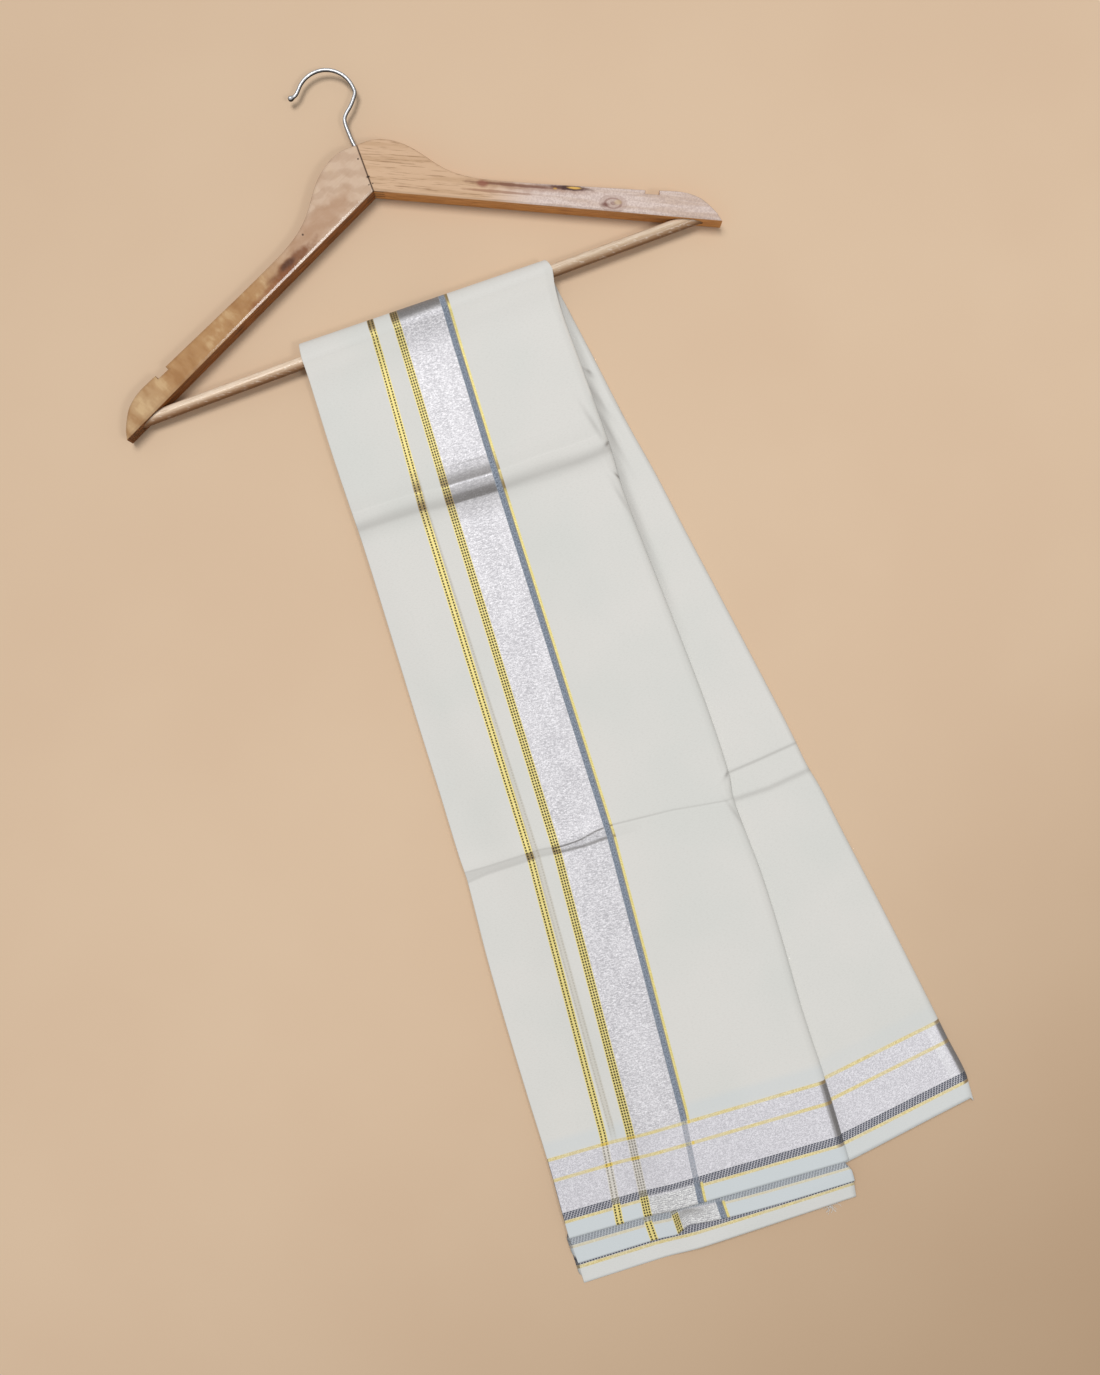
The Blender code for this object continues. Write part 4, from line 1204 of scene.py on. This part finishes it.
SIDE_STAINS = {1: ("D59A5C", "AE7540"), -1: ("9C6130", "5E3819")}
LEATHER_RELIEF = {1: 0.28, -1: 0.08}
SEAM_BROWN = "2C1C12"
# Marks on an arm: place, size, wander of the edge, share, colour.
RIGHT_STREAKS = (
    # The dark streak with its drop of resin, and the small knot.
    ((104.0, 56.0), (54.0, 4.0), 1.4, 0.45, "96694F"),
    ((95.0, 61.0), (46.0, 1.5), 1.1, 0.75, "6E4230"),
    ((80.0, 62.0), (34.0, 1.3), 1.1, 0.60, "8A5A42"),
    ((126.0, 48.0), (24.0, 2.1), 1.1, 0.85, "553028"),
    ((128.0, 47.2), (11.0, 2.6), 1.1, 0.70, "3C2A2A"),
    ((130.5, 46.2), (6.0, 1.15), 1.1, 0.90, "E3B45E"),
    ((118.0, 50.3), (2.0, 0.9), 1.1, 0.60, "D9A954"),
    ((72.0, 71.0), (5.5, 3.6), 0.6, 0.75, "8A5040"),
)
RIGHT_KNOT = ((152.0, 27.0), (10.5, 6.5))
RIGHT_KNOT_MARKS = (
    ((146.5, 28.0), (5.0, 2.6), 0.8, 0.7, "6B3F36"),
    ((155.5, 26.5), (3.6, 2.4), 0.4, 0.6, "C7AC84"),
)
LEFT_ARCS = ((58.0, -14.0), (52.0, 40.0))
LEFT_MARKS = (
    # The dark patch beside the lower edge, and a pin.
    ((45.0, 82.0), (40.0, 14.0), 1.0, 0.55, "A97F5F"),
    ((71.0, 64.0), (29.0, 6.5), 1.2, 0.85, "7A4A2C"),
    ((72.5, 64.8), (8.0, 3.8), 0.8, 0.75, "4C2E22"),
    ((88.0, 53.5), (34.0, 3.6), 1.0, 0.6, "8A5230"),
    ((56.0, 80.5), (1.1, 1.1), 0.0, 0.85, "3A2418"),
)


def right_arm_face(graph, fine, pores):
    """Straight grain at the neck, a leathery end, the dark streak and the knots."""
    along = graph.along
    graph.colour = graph.mix(graph.ramp(along, 70.0, 120.0), "D0AE8E", "DCCAC1")
    graph.tint("A98560", 0.35, graph.stretched(60.0, 5.0), 0.45, 0.65)
    neck = graph.ramp(along, 70.0, 110.0, 1.0, 0.25)
    graph.cover(graph.ramp(fine, 0.55, 0.70) * neck * 0.58, "7E5838")
    leather = graph.ramp(pores, 0.42, 0.60) * graph.ramp(along, 80.0, 130.0)
    graph.cover(leather * 0.35, "A58C84")
    graph.marks(RIGHT_STREAKS)
    knot = graph.away(arm_place(*RIGHT_KNOT[0]), RIGHT_KNOT[1])
    rings = graph.ramp(graph.math("SINE", knot * 15.0), -0.2, 0.9)
    inside = graph.ramp(knot, 0.75, 1.0, 1.0, 0.0)
    graph.cover(inside * 0.55, "B49A8E")
    graph.cover(inside * rings * 0.5, "7F564C")
    graph.marks(RIGHT_KNOT_MARKS)


def left_arm_face(graph, fine):
    """Blotches, growth lines in arcs across the neck, and the dark patch."""
    along = graph.along
    graph.colour = graph.mix(graph.ramp(along, 50.0, 110.0), "CEB39B", "B1875B")
    graph.cover(graph.ramp(along, 185.0, 215.0), "BB9870")
    blotches = graph.noise(graph.place(along, graph.up * 0.5), 0.10, 3.0)
    calm = graph.ramp(along, 70.0, 105.0, 0.22, 1.0)
    graph.cover(graph.ramp(blotches, 0.46, 0.66) * calm * 0.62, "9A6C40")
    graph.cover(graph.ramp(blotches, 0.46, 0.32) * calm * 0.45, "DDBF92")
    graph.tint("8E6B4B", 0.12, fine, 0.55, 0.75)
    wavy = graph.away(*LEFT_ARCS) * 26.0 + graph.rough * 7.0
    neck = graph.ramp(along, 78.0, 100.0, 1.0, 0.0)
    graph.cover(graph.ramp(graph.math("SINE", wavy), -0.6, 1.0) * neck * 0.22, "946A4A")
    graph.marks(LEFT_MARKS)


def arm_material(name, side):
    graph = WoodGraph(name, side)
    graph.along, graph.up = arm_place(graph.x, graph.y)
    place = graph.place(graph.along, graph.up, graph.z)
    graph.rough = graph.noise(place, 0.12, 3.0)
    fine = graph.stretched(16.0, 0.7)
    pores = graph.noise(place, 0.9)
    if side > 0:
        right_arm_face(graph, fine, pores)
    else:
        left_arm_face(graph, fine)

    # The mitre's seam with its pins, and the stained side faces with the joint's fingers.
    graph.tint("4A2E1B", 0.75, graph.x, 0.25, 0.9, 1.0, 0.0)
    for pin, size in (((0.6, 102.4), 0.9), ((1.4, 97.0), 0.7), ((-side * 2.3, 116.3), 0.9)):
        graph.cover(graph.patch(arm_place(*pin), (size, size)) * 0.9, SEAM_BROWN)
    side_face = graph.ramp(graph.facing_up, 0.25, 0.75, 1.0, 0.0)
    graph.cover(side_face, graph.mix(graph.ramp(fine, 0.40, 0.65), *SIDE_STAINS[side]))
    if side < 0:
        end_grain = graph.ramp(graph.along, 205.0, 214.0) * side_face
        graph.cover(end_grain * graph.ramp(pores, 0.45, 0.55) * 0.8, "3B2211")
    fingers = graph.dashes(graph.z, 4.4, 0.22) * side_face
    graph.cover(fingers * graph.ramp(graph.x, 6.0, 7.0, 1.0, 0.0) * 0.85, SEAM_BROWN)
    # Painted shade: a dark rim along the rounded edges that face the hook.
    edge = graph.band(graph.facing_up, 0.20, 0.82, 0.04)
    graph.cover(edge * graph.ramp(graph.facing_hook, 0.1, 0.3) * 0.55, "6E4428")

    relief = graph.bump(fine, RELIEF, 0.25)
    relief = graph.bump(pores, RELIEF, LEATHER_RELIEF[side], relief)
    coat = (graph.ramp(graph.facing_up, 0.93, 0.985, 0.75, 0.0)
            * graph.ramp(graph.facing_up, 0.2, 0.7, 0.15, 1.0))
    return graph.finish_gloss(graph.ramp(pores, 0.3, 0.7, 0.32, 0.5), relief, coat, 0.13)


def bar_material():
    """Pale wood with slanted flecks, a painted highlight on its hook side, painted shade below."""
    graph = WoodGraph("pale_wood")
    x, y, facing = graph.x, graph.y, graph.facing_hook
    fine = graph.noise(graph.place(x / 12.0, y / 0.55, graph.z / 0.55), 1.0, 3.0)
    flecks = graph.noise(graph.place((x + y * 2.2) / 2.6, y / 1.6), 1.0)
    right = graph.ramp(x, 60.0, 110.0)
    graph.colour = graph.mix(right, "E6CCB0", "CCB397")
    # Painted highlight along the hook side.
    graph.cover(graph.band(facing, 0.10, 0.75, 0.25) * 0.45, "F0DFCC")
    # Painted shade along the lower side, stronger at the left.
    low = graph.ramp(facing, -0.80, 0.05, 1.0, 0.0)
    graph.cover(low * graph.ramp(x, -60.0, 60.0, 0.85, 0.65), "84552B")
    graph.tint("A98663", 0.5, fine, 0.5, 0.7)
    graph.tint("F3E6D6", 0.45, flecks, 0.55, 0.72)
    # Painted shade: a dark line along the bottom, and a brown line at the hook side's edge.
    graph.tint("6B4524", 0.8, facing, -0.97, -0.75, 1.0, 0.0)
    graph.tint("93704B", 0.65, facing, 0.85, 0.97)
    roughness = graph.math("MULTIPLY_ADD", right, -0.2, 0.5)
    return graph.finish_gloss(roughness, graph.bump(fine, RELIEF, 0.35), 0.35, 0.15)


def wire_material():
    """Bright wire with fine wear, and a painted dark reflection on its sides."""
    graph = WoodGraph("bright_wire")
    wear = graph.noise(graph.place(graph.x / 0.4, graph.y / 0.4), 1.0, 3.0)
    # Painted reflection: the sides darker than the top.
    side_face = graph.ramp(graph.facing_up, 0.55, 0.93, 1.0, 0.0)
    graph.colour = graph.mix(side_face, "C9CACC", "35302D")
    graph.tint("8C8A88", 0.2, wear, 0.50, 0.75)
    return graph.finish({"Specular IOR Level": 0.06, "Metallic": 0.35, "Coat Roughness": 0.1,
                         "Roughness": graph.ramp(wear, 0.3, 0.7, 0.18, 0.30),
                         "Normal": graph.bump(wear, 0.0001, 0.1)})


def tube(name, places, radius, material):
    """A round tube through the places (x, y, z, share of the radius), as a mesh."""
    curve = bpy.data.curves.new(name, "CURVE")
    curve.dimensions = "3D"
    curve.bevel_depth = radius * MM
    curve.bevel_resolution = 6
    curve.use_fill_caps = True
    spline = curve.splines.new("POLY")
    spline.points.add(len(places) - 1)
    for point, (x, y, z, share) in zip(spline.points, places):
        point.co = (*to_row((x, y, z)), 1.0)
        point.radius = share
    drawn = bpy.data.objects.new(name, curve)
    mesh = bpy.data.meshes.new_from_object(drawn)
    bpy.data.objects.remove(drawn)
    mesh.shade_smooth()
    mesh.set_sharp_from_angle(angle=math.radians(50))
    mesh.materials.clear()
    mesh.materials.append(material)
    return link(name, mesh)


def hook_piece():
    centre_x, centre_y = HOOK_BEND_CENTRE
    bend = []
    for degrees in range(-8, 150, 10):
        turn = math.radians(degrees)
        bend.append((centre_x + HOOK_BEND_RADIUS * math.cos(turn),
                     centre_y + HOOK_BEND_RADIUS * math.sin(turn), 1.0))
    line = smooth_line([*HOOK_START, *bend, *HOOK_END], 4)
    places = [(x, y, MID_Z, share) for x, y, share in line]
    return tube("hook", places, WIRE_RADIUS, wire_material())


def add_piece(piece, node):
    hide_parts(node)
    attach(piece, "root")


def add_hanger():
    """The arms, the hook and the bar, which is given back."""
    for side, name in ((-1, "arm_left"), (1, "arm_right")):
        add_piece(arm_piece(side, name, arm_material(name, side)), "hanger_" + name)
    add_piece(hook_piece(), "hanger_hook")
    ends = [(side * BAR_HALF_LENGTH, 0.0, MID_Z, 1.0) for side in (-1, 1)]
    bar = tube("bar", ends, BAR_RADIUS, bar_material())
    add_piece(bar, "hanger_trouser_bar")
    return bar


# ---------------------------------------------------------------- scene

# The direction in which the floor's painted shade darkens it.
FLOOR_TURN = (0.32, -0.95)
FLOOR_SIZE = 6.0
FLOOR_DROP = 0.0002
# Lights: place and size in metres, power in watts.
KEY_LIGHT = ((-0.22, 1.40, 3.55), 1.65, 85.5)
FILL_LIGHT = ((0.74, -0.96, 2.00), 0.45, 8.5)
SKY_STRENGTH = 0.34
# Loose threads at the third sheet's hem.
FRAY_PLACE = (54.5, -678.0)
FRAY_THREADS = 9
FRAY_POINTS = 7
FRAY_STEP = 1.15
FRAY_RADIUS = 0.13


def floor_material():
    """Plain paper with painted shade: darker towards the lower right of the camera's view and a
    little to its top left.
    """
    graph = Graph("paper")
    place = graph.add("ShaderNodeTexCoord", output="Object")
    x, y, _ = graph.split(place)
    down = x * FLOOR_TURN[0] + y * FLOOR_TURN[1]
    patches = graph.ramp(graph.noise(place, 5.0, 3.0), 0.3, 0.7)
    graph.colour = graph.mix(patches, "DBC0A3", "D8BC9F")
    # Painted shade: darker along FLOOR_TURN, and a little the other way.
    graph.cover(graph.ramp(down, 0.08, 0.78, 0.0, 0.58), "8C6E4C")
    graph.cover(graph.ramp(down, -0.75, 0.0, 0.16, 0.0), "A38C74")
    grain = graph.bump(graph.noise(place, 900.0), 0.0002, 0.15)
    return graph.finish({"Normal": grain, "Roughness": 0.9, "Specular IOR Level": 0.2})


def add_floor():
    bpy.ops.mesh.primitive_plane_add(size=FLOOR_SIZE, location=(0, 0, -FLOOR_DROP))
    floor = bpy.context.object
    floor.name = "floor"
    floor.data.materials.append(floor_material())


def area_light(name, place, size, power):
    """A round soft light, aimed at the middle of the floor."""
    data = bpy.data.lights.new(name, "AREA")
    data.shape = "DISK"
    data.size = size
    data.energy = power
    made = link(name, data)
    made.location = place
    made.rotation_euler = (-Vector(place)).to_track_quat("-Z", "Y").to_euler()


def add_lights():
    area_light("key", *KEY_LIGHT)
    area_light("fill", *FILL_LIGHT)
    world = bpy.data.worlds.new("studio")
    world.use_nodes = True
    background = world.node_tree.nodes["Background"]
    background.inputs["Color"].default_value = (1.0, 1.0, 1.0, 1.0)
    background.inputs["Strength"].default_value = SKY_STRENGTH
    bpy.context.scene.world = world


def add_camera():
    data = bpy.data.cameras.new("camera")
    data.sensor_width = CAMERA_SENSOR
    data.lens = CAMERA_LENS
    data.clip_start = 0.01
    data.clip_end = 20.0
    camera = link("camera", data)
    camera.location = CAMERA_PLACE
    camera.rotation_euler = (0.0, 0.0, CAMERA_TURN)
    bpy.context.scene.camera = camera
    bpy.context.scene.view_settings.view_transform = "Standard"


def frayed_threads(material):
    """A tuft of loose threads at the third sheet's hem, as one mesh."""
    chance = random.Random(11)
    threads = []
    for _ in range(FRAY_THREADS):
        x, y = FRAY_PLACE
        x += chance.uniform(-2.5, 2.5)
        turn = math.radians(chance.uniform(-130, -45))
        places = []
        for step in range(FRAY_POINTS):
            places.append((x, y, mix(1.6, 0.35, min(1.0, step / 3)), 1.0))
            turn += math.radians(chance.uniform(-28, 28))
            x += FRAY_STEP * math.cos(turn)
            y += FRAY_STEP * math.sin(turn)
        threads.append(tube("frayed_threads", places, FRAY_RADIUS, material))
    work = bmesh.new()
    for thread in threads:
        work.from_mesh(thread.data)
    work.to_mesh(threads[0].data)
    work.free()
    for thread in threads[1:]:
        bpy.data.objects.remove(thread)
    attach(threads[0], "root")
    return threads[0]


def add_cloth(bar):
    """The five sheets, and the loose threads at the lowest hem."""
    top_columns = spread((0.0, 0.02, 0.004), (0.02, 0.9, 0.014), (0.9, 1.0, 0.006))
    top_rows = spread((4.0, 60.0, 3.0), (60.0, 100.0, 4.0), (100.0, 150.0, 0.8),
                      (150.0, 358.0, 4.0), (358.0, 366.0, 1.2), (366.0, 392.0, 0.5),
                      (392.0, 400.0, 1.5), (400.0, 620.0, 5.0), (620.0, TOP_END, 1.5))
    top = front_sheet("cloth_top", TOP_SHEET, top_columns, top_rows, TOP_BAND_ROWS, top_relief,
                      dhoti_material("dhoti_banded", True, ghost=True))
    hidden = spread((4.0, 60.0, 4.0), (60.0, 620.0, 8.0), (620.0, 640.0, 3.0))
    second_rows = np.concatenate([hidden, spread((641.0, SECOND_END, 1.0))])
    second = front_sheet("cloth_second", SECOND_SHEET, spread((0.0, 1.0, 0.012)), second_rows,
                         SECOND_BAND_ROWS, None, dhoti_material("dhoti_second", True, faded=1.0))
    third_rows = np.concatenate([hidden, spread((641.0, THIRD_END, 1.5))])
    third_material = dhoti_material("dhoti_third", False, hem_tint=0.2, drawn_down=1.9)
    third = front_sheet("cloth_third", THIRD_SHEET, spread((0.0, 1.0, 0.02)), third_rows,
                        NO_BAND_ROWS, None, third_material)
    back_rows = spread((0.0, 60.0, 3.0), (60.0, 358.0, 3.0), (358.0, 400.0, 0.8),
                       (400.0, 560.0, 4.0), (560.0, BACK_END, 2.5))
    back = back_sheet("cloth_back", True, spread((0.0, 0.5, 0.05), (0.5, 1.0, 0.012)), back_rows,
                      2, PLY_PITCH, back_relief, dhoti_material("dhoti_back", False, hem_tint=0.5))
    under_rows = spread((0.0, 60.0, 6.0), (60.0, BACK_END, 13.0))
    under = back_sheet("cloth_under", False, spread((0.0, 1.0, 0.08)), under_rows,
                       5, UNDER_PLY_PITCH, None, dhoti_material("dhoti_under", False))
    for piece, node in ((top, "cloth_front_top"), (second, "cloth_front_second"),
                        (third, "cloth_front_third"), (back, "cloth_back_top"),
                        (under, "cloth_back_under")):
        add_piece(piece, node)
    threads = frayed_threads(third_material)


add_camera()
add_lights()
add_floor()
add_cloth(add_hanger())
